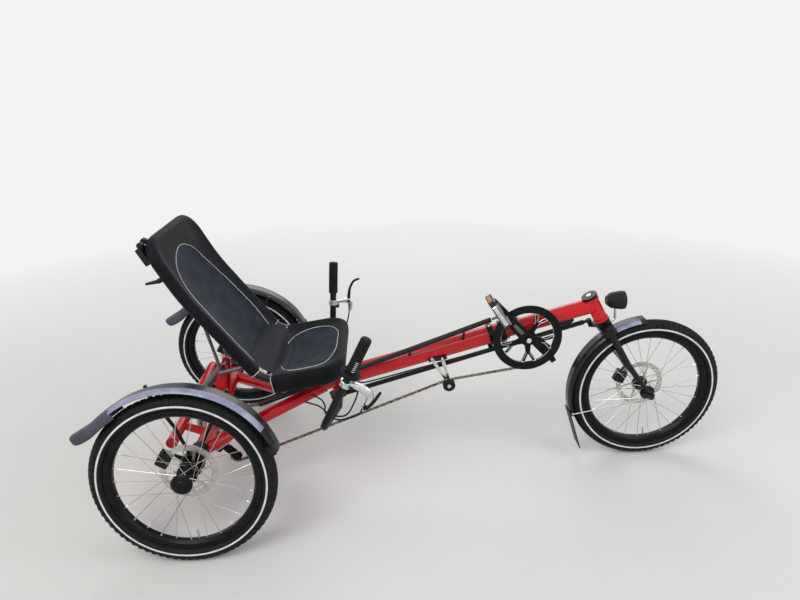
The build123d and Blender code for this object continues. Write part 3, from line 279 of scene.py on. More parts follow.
def seen_by(tree, lit, seen):
    """A strength for the rays that light the object, and another for those that look at it."""
    rays = add_node(tree, "ShaderNodeLightPath")
    looks = rays.outputs["Is Camera Ray"]
    for kind in ("Is Glossy Ray", "Is Transmission Ray"):
        looks = add_node(
            tree, "ShaderNodeMath", {0: looks, 1: rays.outputs[kind]}, operation="MAXIMUM"
        ).outputs[0]
    mixed = add_node(tree, "ShaderNodeMix", {0: looks, 2: lit, 3: seen}, data_type="FLOAT")
    return mixed.outputs[0]


def studio():
    """A white room with three lamps, and a pale floor that fades into it."""
    scene = bpy.context.scene
    scene.view_settings.view_transform = "Standard"
    world = bpy.data.worlds.new("studio")
    world.use_nodes = True
    scene.world = world
    tree = world.node_tree
    back = tree.nodes["Background"]
    back.inputs["Color"].default_value = linear(ROOM_WHITE)
    tree.links.new(seen_by(tree, ROOM_LIT, SEEN), back.inputs["Strength"])
    for row in LAMPS:
        lamp(*row)
    mesh = bpy.data.meshes.new("floor")
    corners = [(-1, -1), (1, -1), (1, 1), (-1, 1)]
    mesh.from_pydata([(x * FLOOR_HALF, y * FLOOR_HALF, 0) for x, y in corners], [], [(0, 1, 2, 3)])
    floor = bpy.data.objects.new("floor", mesh)
    # Pale painted floor: an even off-white with no shine
    pale = surface("pale_floor", "E4E4E2", "E8E8E6", 900, 6, (0.8, 0.9), 0)
    # the floor glows like the room before its edge is reached
    tree = pale.node_tree
    spot = add_node(tree, "ShaderNodeTexCoord").outputs["Object"]
    far = add_node(tree, "ShaderNodeVectorMath", {0: spot}, operation="LENGTH").outputs["Value"]
    fade = add_node(
        tree, "ShaderNodeMapRange", {"Value": far, "From Min": FADE_FROM, "From Max": FADE_TO}
    ).outputs[0]
    glow = add_node(
        tree, "ShaderNodeEmission",
        {"Color": linear(ROOM_WHITE), "Strength": seen_by(tree, FLOOR_LIT, SEEN)},
    )
    blend = add_node(
        tree, "ShaderNodeMixShader",
        {0: fade, 1: tree.nodes["Principled BSDF"].outputs[0], 2: glow.outputs[0]},
    )
    tree.links.new(blend.outputs[0], tree.nodes["Material Output"].inputs["Surface"])
    mesh.materials.append(pale)
    scene.collection.objects.link(floor)


# Mesh makers

def on_body(name, mesh, body, slot):
    """A mesh as an object that rides on a body; a piece given no body is left where it is."""
    made = bpy.data.objects.new(name, mesh)
    bpy.context.scene.collection.objects.link(made)
    if body:
        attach(made, body)
    return made


def piece(name, mesh, material, body, slot=None, smooth=35):
    """A finished mesh as an object; edges sharper than smooth degrees stay sharp."""
    mesh.materials.append(material)
    mesh.shade_smooth()
    mesh.set_sharp_from_angle(angle=rad(smooth))
    return on_body(name, mesh, body, slot)


def shell(name, rows, closed_row=False, closed_column=False, caps=False):
    """A grid of points as faces; rows and columns may run round to their start."""
    mesh = bmesh.new()
    made = [[mesh.verts.new(p) for p in row] for row in rows]
    across = len(made[0])
    for i in range(len(made) if closed_row else len(made) - 1):
        for j in range(across if closed_column else across - 1):
            a, b = made[i], made[(i + 1) % len(made)]
            mesh.faces.new((a[j], a[(j + 1) % across], b[(j + 1) % across], b[j]))
    if caps:
        mesh.faces.new(made[0])
        mesh.faces.new(list(reversed(made[-1])))
    bmesh.ops.remove_doubles(mesh, verts=mesh.verts, dist=1e-6)
    bmesh.ops.recalc_face_normals(mesh, faces=mesh.faces)
    out = bpy.data.meshes.new(name)
    mesh.to_mesh(out)
    mesh.free()
    return out


def turned(name, profile, centre, axis, steps=64):
    """A closed profile of (along, radius) in mm, turned about an axis."""
    axis = Vector(axis).normalized()
    side = axis.orthogonal().normalized()
    other = axis.cross(side)
    rows = []
    for k in range(steps):
        a = 2 * math.pi * k / steps
        out = side * math.cos(a) + other * math.sin(a)
        rows.append([Vector(centre) + (axis * t + out * r) * MM for t, r in profile])
    return shell(name, rows, closed_row=True, closed_column=True)


def plain_mesh(made, name, body, slot, smooth):
    """Turns a modifier's result into a plain mesh that rides on a body."""
    graph = bpy.context.evaluated_depsgraph_get()
    mesh = bpy.data.meshes.new_from_object(made.evaluated_get(graph), depsgraph=graph)
    mesh.name = name
    bpy.data.objects.remove(made)
    out = on_body(name, mesh, body, slot)
    out.data.shade_smooth()
    out.data.set_sharp_from_angle(angle=rad(smooth))
    return out


def new_tree(name, sizes):
    """A Geometry Nodes tree with a named input for each size, and its first and last node."""
    tree = bpy.data.node_groups.new(name, "GeometryNodeTree")
    tree.interface.new_socket("Geometry", in_out="INPUT", socket_type="NodeSocketGeometry")
    for label, (kind, value) in sizes.items():
        socket = tree.interface.new_socket(label, in_out="INPUT", socket_type=kind)
        if value is not None:
            socket.default_value = value
    tree.interface.new_socket("Geometry", in_out="OUTPUT", socket_type="NodeSocketGeometry")
    start = add_node(tree, "NodeGroupInput")
    end = add_node(tree, "NodeGroupOutput")
    return tree, start, end


def set_inputs(modifier, values):
    """Sets a modifier's inputs by their sockets' identifiers."""
    for item in modifier.node_group.interface.items_tree:
        if item.item_type == "SOCKET" and item.in_out == "INPUT" and item.name in values:
            modifier[item.identifier] = values[item.name]


def wire_tree():
    """Round wire along each edge path: spokes, piping, hems, cables and bare edges."""
    tree, start, end = new_tree(
        "round_wire",
        {
            "Wire radius": ("NodeSocketFloat", 0.001),
            "Sides": ("NodeSocketInt", 8),
            "Finish": ("NodeSocketMaterial", None),
        },
    )
    path = add_node(tree, "GeometryNodeMeshToCurve", {"Mesh": start.outputs["Geometry"]})
    ring = add_node(
        tree, "GeometryNodeCurvePrimitiveCircle",
        {"Radius": start.outputs["Wire radius"], "Resolution": start.outputs["Sides"]},
    )
    wire = add_node(
        tree, "GeometryNodeCurveToMesh",
        {"Curve": path.outputs[0], "Profile Curve": ring.outputs[0], "Fill Caps": True},
    )
    whole = add_node(tree, "GeometryNodeRealizeInstances", {"Geometry": wire.outputs[0]})
    done = add_node(
        tree, "GeometryNodeSetMaterial",
        {"Geometry": whole.outputs[0], "Material": start.outputs["Finish"]},
    )
    tree.links.new(done.outputs[0], end.inputs["Geometry"])
    return tree


def copies_tree():
    """One shape at each point, turned by the point's own attribute."""
    tree, start, end = new_tree(
        "repeated_shape",
        {"Shape": ("NodeSocketObject", None), "Finish": ("NodeSocketMaterial", None)},
    )
    shape = add_node(tree, "GeometryNodeObjectInfo", {"Object": start.outputs["Shape"]})
    turn = add_node(
        tree, "GeometryNodeInputNamedAttribute", {"Name": "turn"}, data_type="FLOAT_VECTOR"
    )
    angle = add_node(tree, "FunctionNodeEulerToRotation", {"Euler": turn.outputs["Attribute"]})
    spread = add_node(
        tree, "GeometryNodeInstanceOnPoints",
        {
            "Points": start.outputs["Geometry"],
            "Instance": shape.outputs["Geometry"],
            "Rotation": angle.outputs[0],
        },
    )
    whole = add_node(tree, "GeometryNodeRealizeInstances", {"Geometry": spread.outputs[0]})
    done = add_node(
        tree, "GeometryNodeSetMaterial",
        {"Geometry": whole.outputs[0], "Material": start.outputs["Finish"]},
    )
    tree.links.new(done.outputs[0], end.inputs["Geometry"])
    return tree


WIRE = wire_tree()
COPIES = copies_tree()
WIRE_SMOOTH = 50             # degrees; the edge of a wire's cap is sharper and stays sharp


def wires(name, paths, radius_mm, material, body, slot=None, sides=8):
    """Round wire along paths of points in metres."""
    points, edges = [], []
    for path in paths:
        first = len(points)
        points += [tuple(p) for p in path]
        edges += [(first + k, first + k + 1) for k in range(len(path) - 1)]
    mesh = bpy.data.meshes.new(name)
    mesh.from_pydata(points, edges, [])
    made = bpy.data.objects.new(name, mesh)
    bpy.context.scene.collection.objects.link(made)
    modifier = made.modifiers.new("wire", "NODES")
    modifier.node_group = WIRE
    set_inputs(modifier, {"Wire radius": radius_mm * MM, "Sides": sides, "Finish": material})
    return plain_mesh(made, name, body, slot, WIRE_SMOOTH)


def copies(name, shape, places, material, body, slot=None, smooth=30):
    """One small mesh repeated at each place, a matrix whose X, Y and Z are the shape's."""
    mesh = bpy.data.meshes.new(name)
    mesh.from_pydata([tuple(m.translation) for m in places], [], [])
    turns = mesh.attributes.new("turn", "FLOAT_VECTOR", "POINT")
    for k, m in enumerate(places):
        turns.data[k].vector = m.to_euler("XYZ")
    made = bpy.data.objects.new(name, mesh)
    bpy.context.scene.collection.objects.link(made)
    pattern = bpy.data.objects.new(name + "_one", shape)
    modifier = made.modifiers.new("copies", "NODES")
    modifier.node_group = COPIES
    set_inputs(modifier, {"Shape": pattern, "Finish": material})
    out = plain_mesh(made, name, body, slot, smooth)
    bpy.data.objects.remove(pattern)
    return out


def place(at, x, z):
    """A matrix at a point with its X and Z along these directions."""
    z = Vector(z).normalized()
    x = Vector(x)
    x = (x - z * x.dot(z)).normalized()
    y = z.cross(x)
    return Matrix.Translation(at) @ Matrix((x, y, z)).transposed().to_4x4()


def block(size, top):
    """A small block on the XY plane, in mm; top is its upper face's share of the lower."""
    x, y, z = (v * MM for v in size)
    low = [(-x / 2, -y / 2, 0), (x / 2, -y / 2, 0), (x / 2, y / 2, 0), (-x / 2, y / 2, 0)]
    high = [(a * top, b * top, z) for a, b, _ in low]
    mesh = bpy.data.meshes.new("block")
    around = [(0, 1, 5, 4), (1, 2, 6, 5), (2, 3, 7, 6), (3, 0, 4, 7)]
    mesh.from_pydata(low + high, [], [(4, 5, 6, 7)] + around + [(3, 2, 1, 0)])
    return mesh


def pin(profile, steps):
    """A small turned shape about Z, from (height, radius) pairs in mm."""
    whole = [(profile[0][0], 0)] + profile + [(profile[-1][0], 0)]
    return turned("pin", whole, (0, 0, 0), (0, 0, 1), steps)


LIMB_STEPS, LIMB_SLICE = 6, 24    # rings from station to station, and degrees round each ring
LIMB_SQUARE = 0.7                 # 1 gives a round bar, and less a squarer one


def limb(name, stations, material, body, slot):
    """A rounded bar through (x, y, z, width, depth) stations in mm; depth runs along Y."""
    line = smooth_line(stations, LIMB_STEPS, False)
    rows = []
    for k, (x, y, z, wide, deep) in enumerate(line):
        a, b = line[max(k - 1, 0)], line[min(k + 1, len(line) - 1)]
        way = Vector((b[0] - a[0], 0, b[2] - a[2])).normalized()
        side = Vector((-way.z, 0, way.x))
        row = []
        for t in range(0, 360, LIMB_SLICE):
            turn = (math.cos(rad(t)), math.sin(rad(t)))
            c, s = (math.copysign(abs(f) ** LIMB_SQUARE, f) for f in turn)
            over, across = side * c * wide / 2, Vector((0, 1, 0)) * s * deep / 2
            row.append((Vector((x, y, z)) + over + across) * MM)
        rows.append(row)
    return piece(name, shell(name, rows, closed_column=True, caps=True), material, body, slot, 40)


# Wheels: tyres with tread blocks and a pale line, laced spokes, nipples and valve

CAMBER = rad(4.8)
WHEELS = {
    # centre, axle's way out, spoke flanges along it, flange radius, disc along it
    "front": ((0.727, 0, 0.25), (0, -1, 0), (-28.0, 30.0), 24.0, -36.0),
    "rear_right": (
        (-0.697, -0.407, 0.2492), (0, -math.cos(CAMBER), math.sin(CAMBER)), (-26.0, 24.0), 29.0,
        -42.0,
    ),
    "rear_left": (
        (-0.697, 0.407, 0.2492), (0, math.cos(CAMBER), math.sin(CAMBER)), (-26.0, 24.0), 29.0,
        -42.0,
    ),
}
BODY = {"front": "front_wheel", "rear_right": "rear_right_wheel", "rear_left": "rear_left_wheel"}
TYRE_R, SECTION_R, RIM_R, SPOKES = 250.0, 23.5, 188.0, 28
ROUND = 144                  # steps round a tyre
TREAD_DEPTH = 1.5
TREAD_COUNT, TREAD_BLOCK = 76, (13.5, 6.4, 1.55)
TREAD_ROWS = [
    # degrees from the crown, shift by a share of the spacing, slant
    (-8, 0.0, 24), (8, 0.5, -24), (-34, 0.25, 62), (34, 0.75, -62), (-58, 0.0, 84), (58, 0.5, -84),
]
VALVE_AT = 270 + 180 / SPOKES    # midway between the two lowest spokes


def wheel_point(wheel, t, r, angle):
    """A point t mm out along a wheel's axle and r mm from it, angle degrees up from forward."""
    centre, axle = Vector(WHEELS[wheel][0]), Vector(WHEELS[wheel][1])
    up = Vector((1, 0, 0)).cross(axle)
    if up.z < 0:
        up = -up
    out = Vector((1, 0, 0)) * math.cos(rad(angle)) + up * math.sin(rad(angle))
    return centre + (axle * t + out * r) * MM


def tyre(wheel):
    """The tyre's body, its raised tread and a pale line on each side."""
    centre, axle = WHEELS[wheel][:2]
    mid = TYRE_R - SECTION_R
    body_r = SECTION_R - TREAD_DEPTH
    crown = [
        (body_r * math.sin(rad(a)), mid + body_r * math.cos(rad(a))) for a in range(-84, 85, 12)
    ]
    side = [(22.6, 224.0), (23.0, 220.5), (21.4, 217.0), (18.6, 213.6), (14.5, 211.2),
            (11.2, 210.4), (11.0, 201.0)]
    profile = crown + side + [(-t, r) for t, r in reversed(side)]
    made = piece(wheel + "_tyre_body", turned(wheel + "_tyre_body", profile, centre, axle, ROUND),
                 tyre_rubber, BODY[wheel], "tyre", 60)
    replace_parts(made, wheel + "_tyre")
    places = []
    for lean, shift, slant in TREAD_ROWS:
        for k in range(TREAD_COUNT):
            a = 360.0 * (k + shift) / TREAD_COUNT
            t = body_r * math.sin(rad(lean))
            r = mid + body_r * math.cos(rad(lean))
            here = wheel_point(wheel, t, r, a)
            ahead = wheel_point(wheel, t, r, a + 0.5) - here
            out = here - wheel_point(wheel, 0, mid, a)
            # sunk 0.2 mm, so that no block floats over the curve
            m = place(here - out.normalized() * 0.2 * MM, ahead, out)
            places.append(m @ Matrix.Rotation(rad(slant), 4, "Z"))
    copies(wheel + "_tread", block(TREAD_BLOCK, 0.82), places, tyre_rubber, BODY[wheel], "tyre")
    for sign in (-1, 1):
        line = [(22.4, 226.2), (23.25, 226.0), (23.45, 223.5), (23.4, 221.2), (22.6, 221.0)]
        mesh = turned(wheel + "_line", [(sign * t, r) for t, r in line], centre, axle, ROUND)
        name = wheel + ("_line_out" if sign > 0 else "_line_in")
        piece(name, mesh, reflective_line, BODY[wheel], "tyre", 60)


def hub_and_spokes(wheel):
    """The hub's shell, its laced spokes with their nipples, and the valve."""
    centre, axle, flanges, flange_r, disc = WHEELS[wheel]
    barrel = 13.0 if wheel == "front" else 19.0
    inner, outer = (-46, 44) if wheel == "front" else (-100, 36)
    bore = 6.06 if wheel == "front" else 0.0
    left, right = flanges
    profile = [
        (inner, bore), (inner, 9.6), (inner + 0.4, 10), (disc - 4, 10), (disc - 4, 17),
        (disc + 4, 17),
        (left - 2.2, flange_r - 0.8), (left - 1.4, flange_r), (left + 1.2, flange_r),
        (left + 2, flange_r - 0.8), (left + 2.4, flange_r - 6), (left + 5, barrel + 1.5),
        (left + 8, barrel), (0, barrel - 1), (right - 8, barrel), (right - 5, barrel + 1.5),
        (right - 2.4, flange_r - 6), (right - 2, flange_r - 0.8),
        (right - 1.2, flange_r), (right + 3, flange_r), (right + 4, flange_r - 1),
        (right + 6, flange_r - 4),
        (right + 8, 15), (outer - 1, 12.4), (outer, 11.4), (outer, bore),
    ]
    made = piece(wheel + "_hub_shell", turned(wheel + "_hub_shell", profile, centre, axle, 56),
                 black_anodised, BODY[wheel], None, 30)
    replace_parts(made, wheel + "_hub")
    paths, nipples = [], []
    for i in range(SPOKES):
        flange = flanges[i % 2]
        lean = 64.0 if (i // 2) % 2 else -64.0
        at_rim = 360.0 / SPOKES * i
        side = 1 if flange > 0 else -1
        outside = side if (i // 2) % 2 else -side
        root = wheel_point(wheel, flange + outside * 3, flange_r - 4, at_rim + lean)
        bend = wheel_point(wheel, flange + outside * 1.6, flange_r - 3.4, at_rim + lean * 0.97)
        tip = wheel_point(wheel, 2.0 * side, RIM_R + 1, at_rim)
        paths.append([root, bend, tip])
        nipples.append(place(tip, (1, 0, 0), bend - tip))
    wires(wheel + "_spokes", paths, 1.0, stainless, BODY[wheel], "steel", 6)
    copies(wheel + "_nipples", pin([(-1, 2.6), (2.2, 2.6), (2.6, 1.9), (11, 1.7), (12, 1.1)], 8),
           nipples, polished_alloy, BODY[wheel], "steel")
    root = wheel_point(wheel, 0, RIM_R - 32, VALVE_AT)
    top = wheel_point(wheel, 0, RIM_R + 1, VALVE_AT)
    stem = pin([(0, 1.4), (1, 2.6), (11, 2.6), (11.5, 3.2), (14, 3.2), (14.4, 2.4), (33, 2.4)], 12)
    copies(wheel + "_valve", stem, [place(root, (0, 1, 0), top - root)], stainless, BODY[wheel],
           "steel")


for wheel in WHEELS:
    tyre(wheel)
    hub_and_spokes(wheel)


# Seat: mesh covers drawn round the bent tube, with pale piping

SEAT_TOP, SEAT_KINK = Vector((-780, 0, 833)), Vector((-705, 0, 690))
SEAT_BEND, SEAT_FRONT = Vector((-505, 0, 418)), Vector((-285, 0, 452))
HALF, SLEEVE, CORNER = 187.0, 17.0, 60.0
KINK_BLEND = 50.0            # mm of the back's path on each side of its kink that are curved
FALL, FALL_OVER = 6.0, 40.0  # how far the mesh drops inside the tube, and over what width
BACK_LATER, MESH_THICK = 6.0, 5.0    # the back side closes up this much further in
SAG_HALF, SAG_FADE = 172.0, 150.0    # the sag's half width, and its fade before the far end
BACK_SAG, BASE_SAG, BASE_DROP = 21.0, 24.0, 26.0
GRID = 60                    # cells each way in a cover's grid


def along(points, v):
    """A place v mm along a path of points, its corners rounded, with its direction."""
    if len(points) == 2:
        d = (points[1] - points[0]).normalized()
        return points[0] + d * v, d
    first = (points[1] - points[0]).length
    d0, d1 = (points[1] - points[0]).normalized(), (points[2] - points[1]).normalized()
    k = (v - first + KINK_BLEND) / (2 * KINK_BLEND)
    if k <= 0:
        return points[0] + d0 * v, d0
    if k >= 1:
        return points[1] + d1 * (v - first), d1
    a, b = points[1] - d0 * KINK_BLEND, points[1] + d1 * KINK_BLEND
    here = a * (1 - k) ** 2 + points[1] * 2 * k * (1 - k) + b * k ** 2
    return here, ((points[1] - a) * (1 - k) + (b - points[1]) * k).normalized()


BACK = [SEAT_BEND, SEAT_KINK, SEAT_TOP]
BASE = [SEAT_BEND, SEAT_FRONT]
BACK_LEN = sum((b - a).length for a, b in zip(BACK, BACK[1:]))
BASE_LEN = (SEAT_FRONT - SEAT_BEND).length


def smooth_step(x):
    """0 up to 0, 1 from 1 on, and a soft rise between them."""
    x = min(1.0, max(0.0, x))
    return x * x * (3 - 2 * x)


# Settings of the cloth; it grows by 0.6 % as it hangs
CLOTH = {
    "vertex_group_mass": "held", "quality": 6, "mass": 0.4, "tension_stiffness": 25,
    "compression_stiffness": 25, "bending_stiffness": 1.5, "shrink_min": -0.006,
}
CLOTH_GRAVITY, CLOTH_FRAMES = 0.6, 20
MOST_SETTLING = 0.009        # metres; a place that moves further is put back to this


class Cover:
    """A cover's front and back surfaces, as heights over the seat tube's plane, in mm."""

    def __init__(self, path, length, start, sag, drop, flip):
        self.path, self.length, self.start = path, length, start
        self.sag, self.drop, self.flip = sag, drop, flip
        self.end = length + SLEEVE
        self.wide = HALF + SLEEVE

    def at(self, u, v, w):
        """The point u across, v along and w mm over the tube's plane, in metres."""
        here, d = along(self.path, v)
        out = Vector((d.z, 0, -d.x)) * (1 if self.flip else -1)
        return (here + out * w + Vector((0, u, 0))) * MM

    def width(self, v):
        """Half the cover's width, which narrows round its far corners."""
        r = CORNER + SLEEVE
        over = v - (self.end - r)
        return self.wide if over <= 0 else self.wide - r + math.sqrt(max(0.0, r * r - over * over))

    def edge(self, u, v):
        """How far inside the cover's sides and far end a place is."""
        r = CORNER + SLEEVE
        a, b = abs(u) - (self.wide - r), v - (self.end - r)
        outside = math.hypot(max(a, 0), max(b, 0)) + min(max(a, b), 0)
        return max(0.0, r - outside)

    def free(self, u, v):
        """0 near the tube and 1 where the mesh hangs free of it."""
        return smooth_step((self.edge(u, v) - SLEEVE - BACK_LATER) / FALL_OVER)

    def front(self, u, v):
        """Height of the side one sits on: round over the tube, and sagging inside it."""
        d = self.edge(u, v)
        rim = math.sqrt(max(0.0, SLEEVE ** 2 - max(0.0, SLEEVE - d) ** 2))
        across = max(0.0, 1 - (u / SAG_HALF) ** 2)
        far = smooth_step((self.end - SLEEVE - v) / SAG_FADE)
        sunk = self.sag * across ** 1.3 * far
        fall = smooth_step((d - SLEEVE) / FALL_OVER) * FALL
        return rim - sunk - fall

    def back(self, u, v):
        """Height of the other side, which meets the front's inside the tube."""
        d = self.edge(u, v)
        low = SLEEVE + self.drop
        rim = -low / SLEEVE * math.sqrt(max(0.0, SLEEVE ** 2 - max(0.0, SLEEVE - d) ** 2))
        k = self.free(u, v)
        return rim * (1 - k) + (self.front(u, v) - MESH_THICK) * k

    def grid(self):
        """Places (u, v) of the cover's grid, closer together near its edges."""
        half = GRID // 2
        across = [
            0.35 * math.sin(math.pi / 2 * k / half) + 0.65 * math.copysign(abs(k / half) ** 0.9, k)
            for k in range(-half, half + 1)
        ]
        reach = self.end - self.start
        ups = [self.start + reach * (1 - (1 - k / GRID) ** 1.35) for k in range(GRID + 1)]
        return [[(s * self.width(v), v) for s in across] for v in ups]

    def hang(self):
        """Lets the mesh between the tubes settle as cloth; gives how far each place moves."""
        grid = self.grid()
        rows = [[self.at(u, v, self.front(u, v)) for u, v in row] for row in grid]
        wide = len(rows[0])
        points = [p for row in rows for p in row]
        faces = [
            (i * wide + j, i * wide + j + 1, (i + 1) * wide + j + 1, (i + 1) * wide + j)
            for i in range(len(rows) - 1) for j in range(wide - 1)
        ]
        mesh = bpy.data.meshes.new("hung")
        mesh.from_pydata(points, [], faces)
        made = bpy.data.objects.new("hung", mesh)
        bpy.context.scene.collection.objects.link(made)
        held = made.vertex_groups.new(name="held")
        for i, row in enumerate(grid):
            for j, (u, v) in enumerate(row):
                # held along the tube and at the near edge
                if self.edge(u, v) < SLEEVE + 4 or i == 0:
                    held.add([i * wide + j], 1.0, "REPLACE")
        cloth = made.modifiers.new("cloth", "CLOTH")
        for name, value in CLOTH.items():
            setattr(cloth.settings, name, value)
        cloth.settings.effector_weights.gravity = CLOTH_GRAVITY
        cloth.point_cache.frame_start, cloth.point_cache.frame_end = 1, CLOTH_FRAMES
        for frame_at in range(1, CLOTH_FRAMES + 1):
            bpy.context.scene.frame_set(frame_at)
        graph = bpy.context.evaluated_depsgraph_get()
        done = bpy.data.meshes.new_from_object(made.evaluated_get(graph), depsgraph=graph)
        moves = []
        for k, vertex in enumerate(done.vertices):
            move = vertex.co - points[k]
            if move.length > MOST_SETTLING:
                move *= MOST_SETTLING / move.length
            moves.append(move)
        bpy.data.objects.remove(made)
        bpy.data.meshes.remove(done)
        bpy.context.scene.frame_set(1)
        return [moves[i * wide:(i + 1) * wide] for i in range(len(rows))]

    def mesh(self, name, loop):
        """The closed cover; it knows how far inside the piping loop each point is."""
        grid = self.grid()
        self.moves = self.hang()
        rows, marks = [], []
        for line, moves in zip(grid, self.moves):
            top = [self.at(u, v, self.front(u, v)) + m for (u, v), m in zip(line, moves)]
            low = [
                self.at(u, v, self.back(u, v)) + m * self.free(u, v)
                for (u, v), m in zip(line, moves)
            ]
            rows.append(top + list(reversed(low[1:-1])))
            marks.append(line + list(reversed(line[1:-1])))
        made = shell(name, rows, closed_column=True, caps=True)
        inside = made.attributes.new("inside_mm", "FLOAT", "POINT")
        cloth_at = made.attributes.new("cloth_mm", "FLOAT_VECTOR", "POINT")
        near = KDTree(len(rows) * len(rows[0]))
        flat = [m for line in marks for m in line]
        for k, p in enumerate(p for row in rows for p in row):
            near.insert(p, k)
        near.balance()
        for vertex in made.vertices:
            u, v = flat[near.find(vertex.co)[1]]
            inside.data[vertex.index].value = depth_in(loop, u, v)
            cloth_at.data[vertex.index].vector = (u, v, 0)
        return made

    def moved(self, u, v):
        """How far the cloth has settled at a place."""
        grid = self.grid()
        i = min(range(len(grid)), key=lambda n: abs(grid[n][0][1] - v))
        j = min(range(len(grid[i])), key=lambda n: abs(grid[i][n][0] - u))
        return self.moves[i][j]

    def path_on(self, points, lift, closed):
        """A smooth line through places (u, v), lift mm over the front of the cover."""
        out = []
        for u, v in smooth_line(points, CURVE_STEPS, closed):
            out.append(self.at(u, v, self.front(u, v) + lift) + self.moved(u, v))
        return out


CURVE_STEPS = 8              # points from one given point of a curve to the next


def smooth_line(points, steps, closed):
    """Points on a smooth curve through the given ones."""
    out = []
    n = len(points)
    for i in range(n if closed else n - 1):
        near = [(i + k) % n if closed else min(max(i + k, 0), n - 1) for k in (-1, 0, 1, 2)]
        p = [points[m] for m in near]
        for k in range(steps):
            t = k / steps
            out.append([
                0.5 * (2 * p[1][c] + (p[2][c] - p[0][c]) * t
                       + (2 * p[0][c] - 5 * p[1][c] + 4 * p[2][c] - p[3][c]) * t * t
                       + (3 * p[1][c] - p[0][c] - 3 * p[2][c] + p[3][c]) * t ** 3)
                for c in range(len(p[0]))
            ])
    out.append(out[0] if closed else list(points[-1]))
    return out


def depth_in(loop, u, v):
    """Distance in mm to a closed loop of points, above 0 inside it."""
    best, odd = 1e9, False
    for (x0, y0), (x1, y1) in zip(loop, loop[1:] + loop[:1]):
        dx, dy = x1 - x0, y1 - y0
        t = max(0.0, min(1.0, ((u - x0) * dx + (v - y0) * dy) / (dx * dx + dy * dy + 1e-9)))
        best = min(best, math.hypot(x0 + dx * t - u, y0 + dy * t - v))
        if (y0 > v) != (y1 > v) and u < x0 + (v - y0) * dx / dy:
            odd = not odd
    return best if odd else -best


# Mesh cells, ribs of the border and patches of colour in mm; cells and ribs are drawn as coarse
# as they need to be to show
CELL_MM, RIB_MM, SHEEN_MM = 2.381, 1.428, 62.5
WAVE_UNIT = math.pi / 10     # from one band to the next in a wave texture of scale 1


def seat_cloth():
    """Woven polyester: black padded border, and a blue-grey open mesh inside the piping."""
    material = surface("seat_mesh_fabric", "0D0E11", "14161A", 60, 1.2, (0.62, 0.8), 0.05)
    tree = material.node_tree
    body = tree.nodes["Principled BSDF"]
    border = body.inputs["Base Color"].links[0].from_socket
    depth = add_node(tree, "ShaderNodeAttribute", attribute_name="inside_mm").outputs["Fac"]
    panel = add_node(
        tree, "ShaderNodeMapRange", {"Value": depth, "From Min": -0.6, "From Max": 0.6}
    ).outputs[0]
    at = add_node(tree, "ShaderNodeAttribute", attribute_name="cloth_mm").outputs["Vector"]
    sheen = add_node(
        tree, "ShaderNodeTexNoise", {"Vector": at, "Scale": 1 / SHEEN_MM, "Detail": 2.0}
    ).outputs["Fac"]
    net = add_node(
        tree, "ShaderNodeValToRGB", {"Fac": sheen},
        stops=[(0.35, linear("191D26")), (0.65, linear("2C3340"))],
    ).outputs["Color"]
    knots = add_node(
        tree, "ShaderNodeTexVoronoi", {"Vector": at, "Scale": 1 / CELL_MM},
        feature="DISTANCE_TO_EDGE",
    )
    holes = add_node(
        tree, "ShaderNodeValToRGB", {"Fac": knots.outputs["Distance"]},
        stops=[(0.06, grey(1.0)), (0.3, grey(0.62))],
    ).outputs["Color"]
    net = add_node(
        tree, "ShaderNodeMix", {0: 1.0, 6: net, 7: holes}, data_type="RGBA", blend_type="MULTIPLY"
    ).outputs[2]
    colour = add_node(
        tree, "ShaderNodeMix", {0: panel, 6: border, 7: net}, data_type="RGBA"
    ).outputs[2]
    tree.links.new(colour, body.inputs["Base Color"])
    ribs = add_node(
        tree, "ShaderNodeTexWave", {"Vector": at, "Scale": WAVE_UNIT / RIB_MM, "Distortion": 0.4}
    ).outputs["Fac"]
    relief = add_node(
        tree, "ShaderNodeMix", {0: panel, 2: ribs, 3: knots.outputs["Distance"]}, data_type="FLOAT"
    ).outputs[0]
    bump = add_node(
        tree, "ShaderNodeBump", {"Height": relief, "Strength": 0.35, "Distance": 0.3 * MM}
    )
    tree.links.new(bump.outputs["Normal"], body.inputs["Normal"])
    body.inputs["Sheen Weight"].default_value = 0.06
    body.inputs["Sheen Roughness"].default_value = 0.4
    body.inputs["Specular IOR Level"].default_value = 0.14
    return material


# Half of each piping line, as (across, along) in mm; the other half mirrors it
BACK_PIPING = [(-136, 40), (-146, 120), (-145, 200), (-139, 280), (-124, 350), (-86, 415)]
BASE_PIPING = [(-78, 34), (-130, 62), (-151, 118), (-136, 178), (-70, 209)]
BACK_STARTS, BASE_STARTS = 38.0, 24.0    # where each cover begins, from the seat's bend


def mirrored(half):
    """The same line on the other side, run backwards."""
    return [(-u, v) for u, v in reversed(half)]


